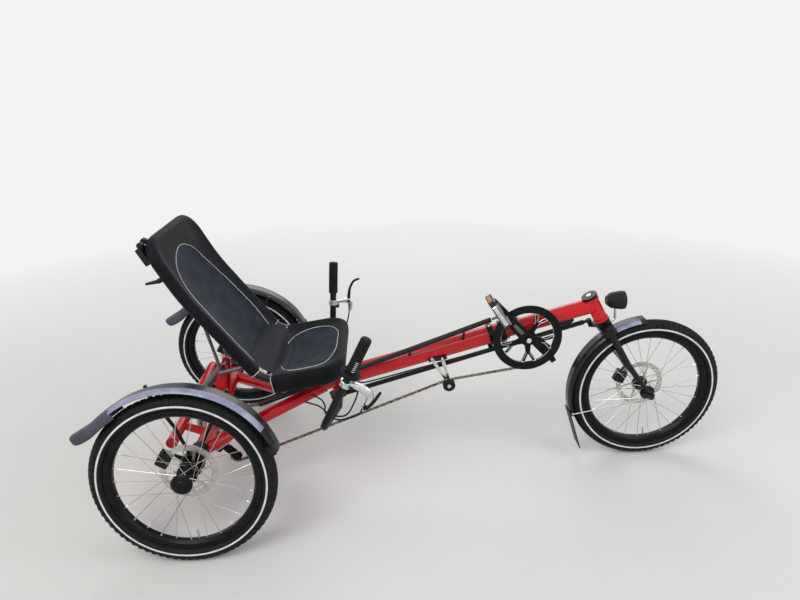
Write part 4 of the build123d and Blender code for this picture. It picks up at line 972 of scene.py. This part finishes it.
def covers():
    """Both covers with their piping and hems, and a pale wire painted as a highlight along the
    back's top edge; gives what the crease is drawn on.
    """
    cloth = seat_cloth()
    # Woven polyester cord along the seams: pale grey and matt. The same pale wire also makes a
    # painted highlight along the top edge of the back.
    piping = surface("pale_piping_and_painted_highlight", "B9BBBD", "CDCED0", 30, 0.6, (0.6, 0.8), 0.03)
    back = Cover(BACK, BACK_LEN, BACK_STARTS, BACK_SAG, 0.0, True)
    base = Cover(BASE, BASE_LEN, BASE_STARTS, BASE_SAG, BASE_DROP, False)
    back_loop = BACK_PIPING + [(0, 446)] + mirrored(BACK_PIPING)
    base_loop = [(0, 28)] + BASE_PIPING + [(0, 212)] + mirrored(BASE_PIPING)
    for name, cover, loop, closed in (
        ("back", back, back_loop, False), ("base", base, base_loop, True),
    ):
        fine = [tuple(p) for p in smooth_line(loop, 6, closed)]
        if not closed:
            fine = [(-136, -30)] + fine + [(136, -30)]
        mesh = cover.mesh("seat_" + name + "_cover", fine)
        made = piece("seat_" + name + "_cover", mesh, cloth, "frame", "mesh_fabric", 60)
        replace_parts(made, "seat_" + name)
        wires("seat_" + name + "_piping", [cover.path_on(loop, 0.7, closed)], 1.3, piping, "frame",
              "mesh_fabric", 8)
        row = cover.grid()[0]
        edge = [cover.at(u, v, cover.front(u, v)) + m for (u, v), m in zip(row, cover.moves[0])]
        edge += [cover.at(u, v, cover.back(u, v)) for u, v in reversed(row[1:-1])]
        wires("seat_" + name + "_hem", [edge + edge[:1]], 1.4, piping, "frame", "mesh_fabric", 6)
    # A pale wire along the back's top edge: a painted highlight of the gloss tube there, not a seam
    painted_highlight_path = [back.at(u, back.end + 0.2, -1.0) for u in range(-118, 119, 8)]
    wires("seat_top_seam", [painted_highlight_path], 1.3, piping, "frame", "mesh_fabric", 6)
    return cloth, back, base


CREASE_HALF, CREASE_CELLS, CREASE_THICK = 166, 40, 1.6
CREASE_SUNK = 2.6            # its ends lie this far below the covers' own surface
CREASE_OUT = Vector((0.382, 0, 0.924))    # away from the hinge bar, between back and base
CREASE_MIDDLE = SEAT_BEND + Vector((12.6, 0, 10.0)) + CREASE_OUT * 12.5


def crease(cloth, back, base):
    """The back's cover where it runs on over the hinge bar and under the base's hem."""
    rows = []
    for k in range(CREASE_CELLS + 1):
        u = -CREASE_HALF + 2 * CREASE_HALF * k / CREASE_CELLS
        bow = 1 - (u / HALF) ** 2
        over_back, over_base = (
            [cover.at(u, v, cover.front(u, v) - CREASE_SUNK) for v in spots]
            for cover, spots in ((back, (86, 50)), (base, (38, 80)))
        )
        middle = (CREASE_MIDDLE - CREASE_OUT * 2.0 * bow + Vector((0, u, 0))) * MM
        line = over_back + [middle] + over_base
        smooth = smooth_line([tuple(p) for p in line], CURVE_STEPS, False)
        # without the outer half of its first and last stretch
        rows.append([Vector(p) for p in smooth[4:-4]])
    both = []
    for row in rows:
        low = []
        for k, p in enumerate(row):
            ahead = row[min(k + 1, len(row) - 1)] - row[max(k - 1, 0)]
            low.append(p - Vector((-ahead.z, 0, ahead.x)).normalized() * CREASE_THICK * MM)
        both.append(row + list(reversed(low)))
    tail = piece("seat_crease", shell("seat_crease", both, closed_column=True, caps=True), cloth,
                 "frame", "mesh_fabric", 50)


crease(*covers())


# Drive: chain links, bare metal and bolts on the crank, and the pedals' fittings

def mm(x, y, z):
    """A point given in mm, in metres."""
    return Vector((x, y, z)) * MM


CRANK, IDLER = (304.0, 473.0), (58.0, 315.0)
CRANK_LENGTH = 170.0
CRANK_SIDES = (("right", -1, 132.0), ("left", 1, 312.0))    # side, sign of Y, degrees at rest
LINK_PITCH = 12.7
CHAIN_ENTERS = 187.0         # x at which the top run goes into its tube
RUN_STEPS = 200
TURNS = [
    # x, z, pitch radius, sense (1 turns left), y, links on the turn, links on the run after it
    (*CRANK, 101.0, 1, -48.0, True, True),
    (-275.0, 368.0, 0.0, 1, -54.0, False, False),
    (-547.0, 289.0, 0.0, 1, -92.1, False, True),
    (-697.0, 222.8, 42.0, 1, -92.1, True, True),
    (-681.0, 151.0, 20.0, -1, -92.1, True, True),
    (-635.0, 102.0, 20.0, 1, -92.1, True, True),
    (*IDLER, 18.5, -1, -52.0, True, True),
]


def chain_run(i):
    """Both ends of the straight run from turn i to the next."""
    x1, z1, r1, s1, y1 = TURNS[i][:5]
    x2, z2, r2, s2, y2 = TURNS[(i + 1) % len(TURNS)][:5]
    reach = math.hypot(x2 - x1, z2 - z1)
    heading = math.atan2(z2 - z1, x2 - x1) - math.asin((s2 * r2 - s1 * r1) / reach)
    nx, nz = -math.sin(heading), math.cos(heading)
    a = Vector((x1 - s1 * r1 * nx, y1, z1 - s1 * r1 * nz))
    b = Vector((x2 - s2 * r2 * nx, y2, z2 - s2 * r2 * nz))
    return a, b


def chain_stretches():
    """The bare chain's stretches, each a fine line of points in mm."""
    out, line = [], []
    for i, (x, z, r, sense, y, on_turn, on_run) in enumerate(TURNS):
        before, after = chain_run(i - 1)[1], chain_run(i)[0]
        if on_turn:
            a0 = math.atan2(before.z - z, before.x - x)
            a1 = math.atan2(after.z - z, after.x - x)
            while (a1 - a0) * sense < 0:
                a1 += 2 * math.pi * sense
            count = max(4, int(abs(a1 - a0) * r / 2))
            angles = [a0 + (a1 - a0) * k / count for k in range(count + 1)]
            line += [Vector((x + r * math.cos(a), y, z + r * math.sin(a))) for a in angles]
        start, end = chain_run(i)
        if i == 0:
            end = start + (end - start) * ((start.x - CHAIN_ENTERS) / (start.x - end.x))
        if on_run:
            line += [start + (end - start) * k / RUN_STEPS for k in range(RUN_STEPS + 1)]
        if i == 0 or not on_run:
            if line:
                out.append(line)
            line = []
    out.append(line)
    return out


def chain_links():
    """Places of inner plates, outer plates and rollers, one half-inch pitch at a time."""
    inner, outer, rollers = [], [], []
    turn_on = 0
    for line in chain_stretches():
        walked = 0.0
        marks = [line[0]]
        for a, b in zip(line, line[1:]):
            gap = (b - a).length
            while gap > 0 and walked + gap >= LINK_PITCH * len(marks):
                marks.append(a + (b - a) * ((LINK_PITCH * len(marks) - walked) / gap))
            walked += gap
        for a, b in zip(marks, marks[1:]):
            turn_on += 1
            rollers.append(place(a * MM, b - a, (0, 1, 0)))
            (inner if turn_on % 2 else outer).append(place((a + b) / 2 * MM, b - a, (0, 1, 0)))
    return inner, outer, rollers


PLATE_END, PLATE_WAIST, PLATE_THICK = 3.9, 2.7, 0.9


def link_shape(across):
    """Two waisted plates, across mm apart, for one pitch along X."""
    mesh = bmesh.new()
    for side in (-1, 1):
        ring = []
        for centre, turn0 in ((LINK_PITCH / 2, -90), (-LINK_PITCH / 2, 90)):
            turns = [rad(turn0 + a) for a in range(0, 181, 30)]
            ring += [(centre + PLATE_END * math.cos(t), PLATE_END * math.sin(t)) for t in turns]
            ring.append((0, math.copysign(PLATE_WAIST, centre)))
        low, top = (
            [mesh.verts.new((x * MM, y * MM, side * (across / 2 + lift) * MM)) for x, y in ring]
            for lift in (-PLATE_THICK / 2, PLATE_THICK / 2)
        )
        mesh.faces.new(low)
        mesh.faces.new(list(reversed(top)))
        for k in range(len(ring)):
            n = (k + 1) % len(ring)
            mesh.faces.new((low[k], top[k], top[n], low[n]))
    bmesh.ops.recalc_face_normals(mesh, faces=mesh.faces)
    out = bpy.data.meshes.new("link")
    mesh.to_mesh(out)
    mesh.free()
    return out


def chain():
    """The bare chain, in place of the CAD's plain loop."""
    inner, outer, rollers = chain_links()
    made = copies("chain_inner_links", link_shape(3.6), inner, chain_steel, "frame", "chain_steel")
    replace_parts(made, "chain")
    copies("chain_outer_links", link_shape(5.6), outer, chain_steel, "frame", "chain_steel")
    roller = pin([(-3.4, 1.8), (-2.2, 1.8), (-2.2, 3.8), (2.2, 3.8), (2.2, 1.8), (3.4, 1.8)], 10)
    copies("chain_rollers", roller, rollers, stainless, "frame", "chain_steel")


PANEL_FACE, CRANK_BOLT_Y = 71.0, 74.8


def crank_faces():
    """A bare machined panel on each crank, and its axle bolt."""
    for side, sign, turn in CRANK_SIDES:
        way = Vector((math.cos(rad(turn)), 0, math.sin(rad(turn))))
        rows = []
        for lift, shrink in ((-0.3, 0.0), (0.5, 0.0), (0.9, 0.8)):
            row = []
            for centre, radius, first in ((34.0, 6.2, 90), (66.0, 5.6, -90)):
                for a in range(0, 181, 15):
                    t = rad(first + a)
                    r = radius - shrink
                    at = Vector((CRANK[0], sign * (PANEL_FACE + lift), CRANK[1]))
                    at += way * (centre + r * math.cos(t))
                    row.append((at + Vector((-way.z, 0, way.x)) * r * math.sin(t)) * MM)
            rows.append(row)
        piece("crank_panel_" + side, shell("crank_panel", rows, closed_column=True, caps=True),
              grey_alloy, "crank", "silver_alloy", 40)
        bolt = pin([(0, 8), (1.5, 8), (2, 7.4), (2, 4.2), (0.6, 4.0)], 24)
        at = mm(CRANK[0], sign * CRANK_BOLT_Y, CRANK[1])
        copies("crank_bolt_" + side, bolt, [place(at, (1, 0, 0), (0, sign, 0))], polished_alloy,
               "crank", "silver_alloy")


ARM_ANGLES = [132.0 + 72 * k for k in range(5)]
RING_BOLT_R, RING_BOLT_Y, RING_BOLT_LEAN = 86, -53.4, 14.0
EDGE_Y, RING_EDGE_R = -53.2, 84.8
ARM_EDGES = [
    # (out, aside) in mm along the inner and the outer edge of one half of a fork
    ((62, 2.4), (74, 8.6), (85.5, 15.2)),
    ((50, 7.2), (58, 7.0), (81.5, 24.2)),
]


def ring_fittings():
    """Bolts at the ends of the forked spider arms, and bare machined edges on them."""
    ring_bolt = pin([(0, 5), (1.6, 5), (2.0, 4.4), (2.0, 2.4), (0.8, 2.2)], 18)
    places = []
    for turn in ARM_ANGLES:
        for lean in (-RING_BOLT_LEAN, RING_BOLT_LEAN):
            a = rad(turn + lean)
            x, z = CRANK[0] + RING_BOLT_R * math.cos(a), CRANK[1] + RING_BOLT_R * math.sin(a)
            places.append(place(mm(x, RING_BOLT_Y, z), (1, 0, 0), (0, -1, 0)))
    copies("ring_bolts", ring_bolt, places, polished_alloy, "crank", "silver_alloy")
    edges = []
    hub = Vector((CRANK[0], EDGE_Y, CRANK[1]))
    for turn in ARM_ANGLES:
        a = rad(turn)
        way, side = Vector((math.cos(a), 0, math.sin(a))), Vector((-math.sin(a), 0, math.cos(a)))
        for sign in (-1, 1):
            for line in ARM_EDGES:
                edges.append([(hub + way * r + side * sign * t) * MM for r, t in line])
        # on the ring, between this arm and the next
        turns = [rad(t) for t in range(19, 54, 3)]
        edges.append([
            (hub + (way * math.cos(t) + side * math.sin(t)) * RING_EDGE_R) * MM for t in turns
        ])
    wires("spider_edges", edges, 0.9, polished_alloy, "crank", "silver_alloy", 6)


PEDAL_TILT, PEDAL_Y = -55.0, 132.0


def pedal_fittings():
    """On each pedal: studs, bare cheek and plates, and a reflector at each end."""
    # Amber acrylic with small prisms behind it: glossy and deep orange, with no light of its own
    orange = surface(
        "amber_reflector", "A5560E", "C06A16", 8, 1.6, (0.2, 0.3), 0.05, specular_ior_level=0.3
    )
    tilt = rad(PEDAL_TILT)
    ahead = Vector((math.cos(tilt), 0, math.sin(tilt)))
    up = Vector((-ahead.z, 0, ahead.x))
    for side, sign, turn in CRANK_SIDES:
        mid = Vector((CRANK[0] + CRANK_LENGTH * math.cos(rad(turn)), sign * PEDAL_Y,
                      CRANK[1] + CRANK_LENGTH * math.sin(rad(turn))))
        studs, lights = [], []
        for end in (-1, 1):
            for face in (-1, 1):
                for y in (-26, -13, 0, 13, 26):
                    at = mid + ahead * end * 44.5 + up * face * 8.6 + Vector((0, y, 0))
                    studs.append(place(at * MM, ahead, up * face))
            at = mid + ahead * end * 46.8
            lights.append(place(at * MM, (0, 1, 0), ahead * end))
        cheek = mid + Vector((0, sign * 42.0, 0))
        copies("pedal_cheek_" + side, block((72, 13, 1.4), 0.94),
               [place(cheek * MM, ahead, (0, sign, 0))], polished_alloy, "pedal_" + side, "steel")
        for face, word in ((-1, "_low"), (1, "_top")):
            at = mid + Vector((0, sign * 36.0, 0)) + up * face * 9.0
            copies("pedal_plate_" + side + word, block((70, 9, 1.2), 0.9),
                   [place(at * MM, ahead, up * face)], polished_alloy, "pedal_" + side, "steel")
        copies("pedal_studs_" + side, pin([(0, 2.2), (1.4, 2.0), (3.2, 1.0)], 8), studs, stainless,
               "pedal_" + side, "steel")
        copies("pedal_reflectors_" + side, block((44, 12, 2.6), 0.92), lights, orange,
               "pedal_" + side, "silver_alloy")


chain()
crank_faces()
ring_fittings()
pedal_fittings()


# Mudguards: reflective bands, flaps and clips

GUARD = {
    # wheel: crown radius, half width, band start and end angle
    "front": (262.0, 28.0, 101.0, 119.0),
    "rear_right": (274.0, 31.0, 34.0, 127.0),
    "rear_left": (274.0, 31.0, 34.0, 127.0),
}


def guard_strip(wheel, name, section, start, end, material, slot):
    """A thin strip of this section, (out, radius), between two angles of a wheel."""
    body = "fork" if wheel == "front" else "frame"
    count = max(6, int((end - start) / 2))
    rows = []
    for k in range(count + 1):
        a = start + (end - start) * k / count
        rows.append([wheel_point(wheel, t, r, a) for t, r in section])
    piece(name, shell(name, rows, closed_column=True, caps=True), material, body, slot, 40)


def guard_bands():
    """Pale bands on the shoulders: both of the front guard's, the outer one of the rear ones."""
    for wheel, (r, half, start, end) in GUARD.items():
        for side, word in ((1, "out"), (-1, "in")):
            if wheel != "front" and side < 0:
                continue
            low = [(half - 16, r - 0.6), (half - 5.2, r - 3.9), (half - 0.6, r - 9.4)]
            high = [(half + 0.1, r - 9.2), (half - 4.9, r - 3.0), (half - 16, r + 0.5)]
            section = [(side * t, q) for t, q in low + high]
            guard_strip(wheel, wheel + "_guard_band_" + word, section, start, end, reflective_tape,
                        "guard_plastic")


FLAP_SPINE = [
    # forward of the axle and over it, in mm, and the share of the section's width
    (-160.5, 222.8, 1.0), (-181.0, 208.6, 1.0), (-200.7, 193.8, 1.02), (-226.0, 172.5, 1.04),
    (-252.0, 156.0, 1.0), (-268.0, 146.5, 0.84), (-276.5, 142.0, 0.5),
]
FLAP_SECTION = [
    # across and out, in mm
    (-33.5, -25.0), (-32.5, -12.0), (-25.0, -3.0), (-12.0, -0.5), (0.0, 0.0),
    (12.0, -0.5), (25.0, -3.0), (32.5, -12.0), (33.5, -25.0),
]
FLAP_THICK, FLAP_INNER = 2.4, 0.93    # mm, and the inner skin's share of the outer's width


def flaps():
    """The grey tongue below each rear guard, crowned as the guard is."""
    for wheel in ("rear_right", "rear_left"):
        line = smooth_line(FLAP_SPINE, 4, False)
        centre, axle = Vector(WHEELS[wheel][0]), Vector(WHEELS[wheel][1])
        rise = wheel_point(wheel, 0, 1, 90) - wheel_point(wheel, 0, 0, 90)
        rows = []
        for k, (x, z, scale) in enumerate(line):
            a, b = line[max(k - 1, 0)], line[min(k + 1, len(line) - 1)]
            along_it = Vector((b[0] - a[0], b[1] - a[1])).normalized()
            out = Vector((1, 0, 0)) * along_it.y * MM - rise * along_it.x
            at = centre + Vector((1, 0, 0)) * x * MM + rise * z
            skin = [at + axle * t * scale * MM + out * d * scale for t, d in FLAP_SECTION]
            skin += [at + axle * t * FLAP_INNER * scale * MM + out * (d * scale - FLAP_THICK)
                     for t, d in reversed(FLAP_SECTION)]
            rows.append(skin)
        mesh = shell(wheel + "_flap", rows, closed_column=True, caps=True)
        made = piece(wheel + "_flap", mesh, flap_rubber, "frame", "black_plastic", 50)
        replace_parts(made, "rear_flaps")


CLIP_OUT, CLIP_R, CLIP_ANGLE = 30.5, 262.0, 21.0


def guard_clips():
    """The black clip that holds the stay at the front end of each rear guard."""
    for wheel in ("rear_right", "rear_left"):
        at = wheel_point(wheel, CLIP_OUT, CLIP_R, CLIP_ANGLE)
        out = Vector(WHEELS[wheel][1])
        ahead = wheel_point(wheel, CLIP_OUT, CLIP_R, CLIP_ANGLE + 3) - at
        copies(wheel + "_guard_clip", block((30, 18, 7), 0.85), [place(at, ahead, out)],
               moulded_plastic, "frame", "black_plastic")


guard_bands()
flaps()
guard_clips()


# Steering: ribbed grips, the flange below the right one, shift marks and brake levers

LEAN = {"right": 24.5, "left": 3.0}    # degrees forward at rest
FLARE = 8.0                            # degrees outward
SIGN = {"right": -1, "left": 1}
GRIP_AT, FLANGE_AT, GRIP_RIBS = 231.0, 215.0, 15
SHIFT_MARKS, MARKS_AT, MARKS_APART = 6, 238.0, 6.4


def upright(side, along_it):
    """A point up an upright from the end of the cross bar, and the way up."""
    lean, flare = rad(LEAN[side]), rad(FLARE)
    way = Vector((math.sin(lean) * math.cos(flare), SIGN[side] * math.sin(flare),
                  math.cos(lean) * math.cos(flare)))
    return (Vector((-337.0, SIGN[side] * 255.0, 290.0)) + way * along_it) * MM, way


def grips():
    """Both grips, the flange on the right and the shifter's pale marks above it."""
    for side in ("right", "left"):
        low, way = upright(side, GRIP_AT)
        profile = [(0, 11.25), (0, 14.6), (0.8, 15.4), (2.5, 15.8), (24, 15.8)]
        for k in range(GRIP_RIBS):
            base = 26 + 5 * k
            profile += [(base, 15.2), (base + 0.6, 15.9), (base + 3.4, 15.9), (base + 4.0, 15.2)]
        profile += [(103, 15.8), (107, 15.8), (110.5, 14.6), (112, 12.0), (112, 0.0), (109.8, 0.0),
                    (109.8, 11.25)]
        made = piece("grip_" + side, turned("grip_" + side, profile, low, way, 40), grip_rubber,
                     "handlebar", "grip_rubber", 40)
        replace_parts(made, "grips")
    low, way = upright("right", FLANGE_AT)
    disc = [(0, 11.25), (0, 26), (1.2, 28.6), (3, 29.6), (9, 29.6), (10.8, 28.6), (11.6, 26),
            (11.6, 23), (10.4, 21), (10.4, 18), (12, 16.5), (12, 11.25)]
    made = piece("grip_flange", turned("grip_flange", disc, low, way, 64), grip_rubber, "handlebar",
                 "grip_rubber", 30)
    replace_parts(made, "grips")
    marks = []
    for k in range(SHIFT_MARKS):
        at, way = upright("right", MARKS_AT + MARKS_APART * k)
        out = Vector((0.2, -1.0, 0)) - way * Vector((0.2, -1.0, 0)).dot(way)
        marks.append(place(at + out.normalized() * 15.7 * MM, way.cross(out), out))
    copies("shift_marks", block((9.0, 1.9, 0.45), 1.0), marks, reflective_line, "handlebar",
           "black_plastic")


LEVERS = {
    # side: how far up the upright its clamp is, then body, blade and hinge in mm from the
    # clamp's centre; body and blade as (x, y, z, width, depth)
    "right": (
        185.0,
        [(12, 0, -3, 18, 15), (30, -2, -10, 19, 15), (52, -4, -21, 24, 15), (67, -5, -36, 23, 14),
         (66, -5, -52, 18, 13), (57, -5, -67, 12, 11)],
        [(47, -6, -78, 12, 12), (62, -7, -74, 11, 10), (80, -8, -55, 9.5, 8), (92, -9, -37, 9, 8),
         (98, -9, -28, 7, 7)],
        (53, -5, -73),
    ),
    "left": (
        196.0,
        [(12, 0, 2, 15, 14), (30, 2, 5, 15, 14), (50, 4, 5, 20, 14), (61, 5, -6, 19, 13),
         (61, 5, -22, 15, 12), (58, 5, -36, 10, 10)],
        [(56, 6, 2, 12, 10), (58, 6, 26, 11, 9), (63, 6, 52, 9, 8), (76, 6, 76, 8, 8),
         (92, 6, 84, 8, 8), (98, 6, 84, 6, 6)],
        (57, 5, 4),
    ),
}


def levers():
    """Bent silver brackets on round clamps, with black finger blades."""
    for side, (at, body, blade, hinge) in LEVERS.items():
        low, way = upright(side, at)
        base = low / MM
        ring = [(-9, 11.12), (-9, 15.4), (-8, 16.4), (8, 16.4), (9, 15.4), (9, 11.12)]
        made = piece("lever_clamp_" + side, turned("lever_clamp_" + side, ring, low, way, 40),
                     polished_alloy, "handlebar", "silver_alloy", 30)
        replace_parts(made, "lever_bodies")
        for name, path, finish, slot, node in (
            ("body", body, polished_alloy, "silver_alloy", "lever_bodies"),
            ("blade", blade, moulded_plastic, "black_plastic", "lever_blades"),
        ):
            line = [
                (base.x + x, base.y + y, base.z + z, wide, deep) for x, y, z, wide, deep in path
            ]
            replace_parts(limb("lever_" + name + "_" + side, line, finish, "handlebar", slot), node)
        pins = []
        for spot in (hinge, (16, SIGN[side], -14)):
            head_at = base + Vector(spot) + Vector((0, 9.5, 0))
            pins.append(place(head_at * MM, (1, 0, 0), (0, -1, 0)))
        head = [(0, 5.6), (17.5, 5.6), (18.6, 4.9), (18.6, 2.6), (16.8, 2.4)]
        copies("lever_bolts_" + side, pin(head, 16), pins, moulded_plastic, "handlebar",
               "black_plastic")


levers()


# Trimmings of the frame: idler arms, cables, stops, knobs and bolts

MAIN_AT, MAIN_SLOPE = (-213.0, 352.0), 0.2792    # a point of the main tube's axis, and its rise


def main_z(x):
    """Height of the main tube's axis at x, in mm."""
    return MAIN_AT[1] + MAIN_SLOPE * (x - MAIN_AT[0])


SADDLE_BOLTS = ((6, 397), (39, 396))


def idler_arms():
    """Two flat silver arms that hang the idler from a black saddle under the tube."""
    for name, x, z, foot in (("rear", 6.0, 397.0, 54.0), ("front", 39.0, 396.0, 61.0)):
        line = [(x, -35, z + 5, 7, 4), (x, -35, z, 11, 4),
                ((x + foot) / 2, -35, (z + 318) / 2, 10, 4), (foot, -35, 318, 11, 4),
                (foot + 1, -35, 311, 7, 4)]
        made = limb("idler_arm_" + name, line, polished_alloy, "frame", "silver_alloy")
        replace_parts(made, "idler_bracket")
    saddle = [(-6, -27, 391, 12, 14), (4, -27, 395, 15, 18), (22, -27, 398, 15, 18),
              (42, -27, 400, 15, 18), (52, -27, 404, 12, 14)]
    limb("idler_saddle", saddle, moulded_plastic, "frame", "black_plastic")
    axle = [(27, 0), (27, 7), (42.4, 7), (42.4, 3.9), (61.6, 3.9), (61.6, 6.2), (63, 6.8),
            (65, 6.0), (65, 0)]
    mesh = turned("idler_axle", axle, mm(IDLER[0], 0, IDLER[1]), (0, -1, 0), 32)
    piece("idler_axle", mesh, polished_alloy, "frame", "silver_alloy", 30)
    head = pin([(0, 5.6), (2.6, 5.6), (3.4, 4.8), (3.4, 2.6), (1.6, 2.4)], 16)
    spots = [place(mm(x, -36.6, z), (1, 0, 0), (0, -1, 0)) for x, z in SADDLE_BOLTS]
    copies("idler_bolts", head, spots, stainless, "frame", "silver_alloy")


HOSE_R = 2.5


def cables():
    """Brake and shift housings; those from the bar bend between it and the frame."""
    right = [
        [(-214, -286, 386), (-224, -288, 362), (-248, -284, 348), (-278, -268, 331),
         (-306, -234, 317), (-333, -180, 304), (-336, -140, 303), (-352, -90, 297),
         (-385, -50, 292), (-412, -32, 281), (-430, -10, 268)],
        [(-238, -279, 466), (-227, -277, 434), (-236, -273, 396), (-260, -268, 350),
         (-290, -240, 326), (-322, -198, 312), (-343, -150, 300), (-362, -104, 284),
         (-388, -72, 274), (-412, -44, 266), (-428, -12, 264)],
    ]
    left = [[(-269, 287, 450), (-276, 288, 418), (-296, 276, 350), (-312, 246, 324),
             (-332, 190, 308), (-342, 120, 302), (-368, 62, 294), (-404, 34, 280),
             (-428, 10, 268)]]
    for side, paths in (("right", right), ("left", left)):
        lines = [[mm(*p) for p in smooth_line(path, CURVE_STEPS, False)] for path in paths]
        made = wires("bar_cables_" + side, lines, HOSE_R, hose_plastic, None, "black_plastic", 8)
        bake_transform(made)
    tips = [place(mm(*path[0]), (1, 0, 0), mm(*path[0]) - mm(*path[1])) for path in right + left]
    copies("cable_ferrules", pin([(-9, 3.3), (2, 3.3), (3, 2.6)], 12), tips, stainless,
           "handlebar", "silver_alloy")
    # the housing under main tube and boom, as x and the drop below the tube's axis
    drops = ((-222, 36), (-160, 40), (-60, 41), (60, 43), (170, 44), (235, 46), (275, 54),
             (304, 57), (338, 54))
    under = [(-244, -8, main_z(-244) - 20)]
    under += [(x, -16, main_z(x) - drop) for x, drop in drops]
    under += [(390, -12, main_z(390) - 48), (428, -5, 490)]
    line = [mm(*p) for p in smooth_line(under, CURVE_STEPS, False)]
    wires("boom_cable", [line], HOSE_R, hose_plastic, "frame", "black_plastic", 8)
    stop = [(416, 0, 500, 10, 12), (426, 0, 500, 22, 14), (440, 0, 502, 30, 14),
            (456, 0, 508, 20, 14), (464, 0, 511, 10, 12)]
    limb("boom_stop", stop, moulded_plastic, "frame", "black_plastic")


STEERING_UP = (-0.5, 0, 0.866)         # along the head tube
TUBE_UP = (-0.269, 0, 0.963)           # square to the main tube


def trimmings():
    """The headset's bolt, knobs behind the seat's top corner and bolts on the boom's clamps."""
    cap = pin([(0, 8.5), (1.2, 8.5), (2.2, 7.4), (2.2, 3.6), (0.8, 3.4)], 24)
    copies("headset_bolt", cap, [place(mm(506.5, 0, 590.9), (1, 0, 0), STEERING_UP)], stainless,
           "frame", "silver_alloy")
    knob = pin([(-8, 6.5), (-6.5, 8.5), (6.5, 8.5), (8, 6.5)], 20)
    spots = [place(mm(*p), (1, 0, 0), (0, -1, 0)) for p in ((-801, -172, 837), (-799, -146, 842))]
    copies("seat_knobs", knob, spots, moulded_plastic, "frame", "black_plastic")
    head = pin([(0, 4.4), (2.4, 4.4), (3.2, 3.6), (3.2, 2.2), (1.4, 2.0)], 14)
    places = []
    for x in (189.0, 225.0):
        for y in (-12.0, 12.0):
            at = mm(x, y, main_z(x) + 36.2 - abs(y) * 0.18)
            places.append(place(at, (1, 0, 0), TUBE_UP))
    copies("clamp_bolts", head, places, stainless, "frame", "silver_alloy")


idler_arms()
cables()
trimmings()
grips()

place_camera()
studio()
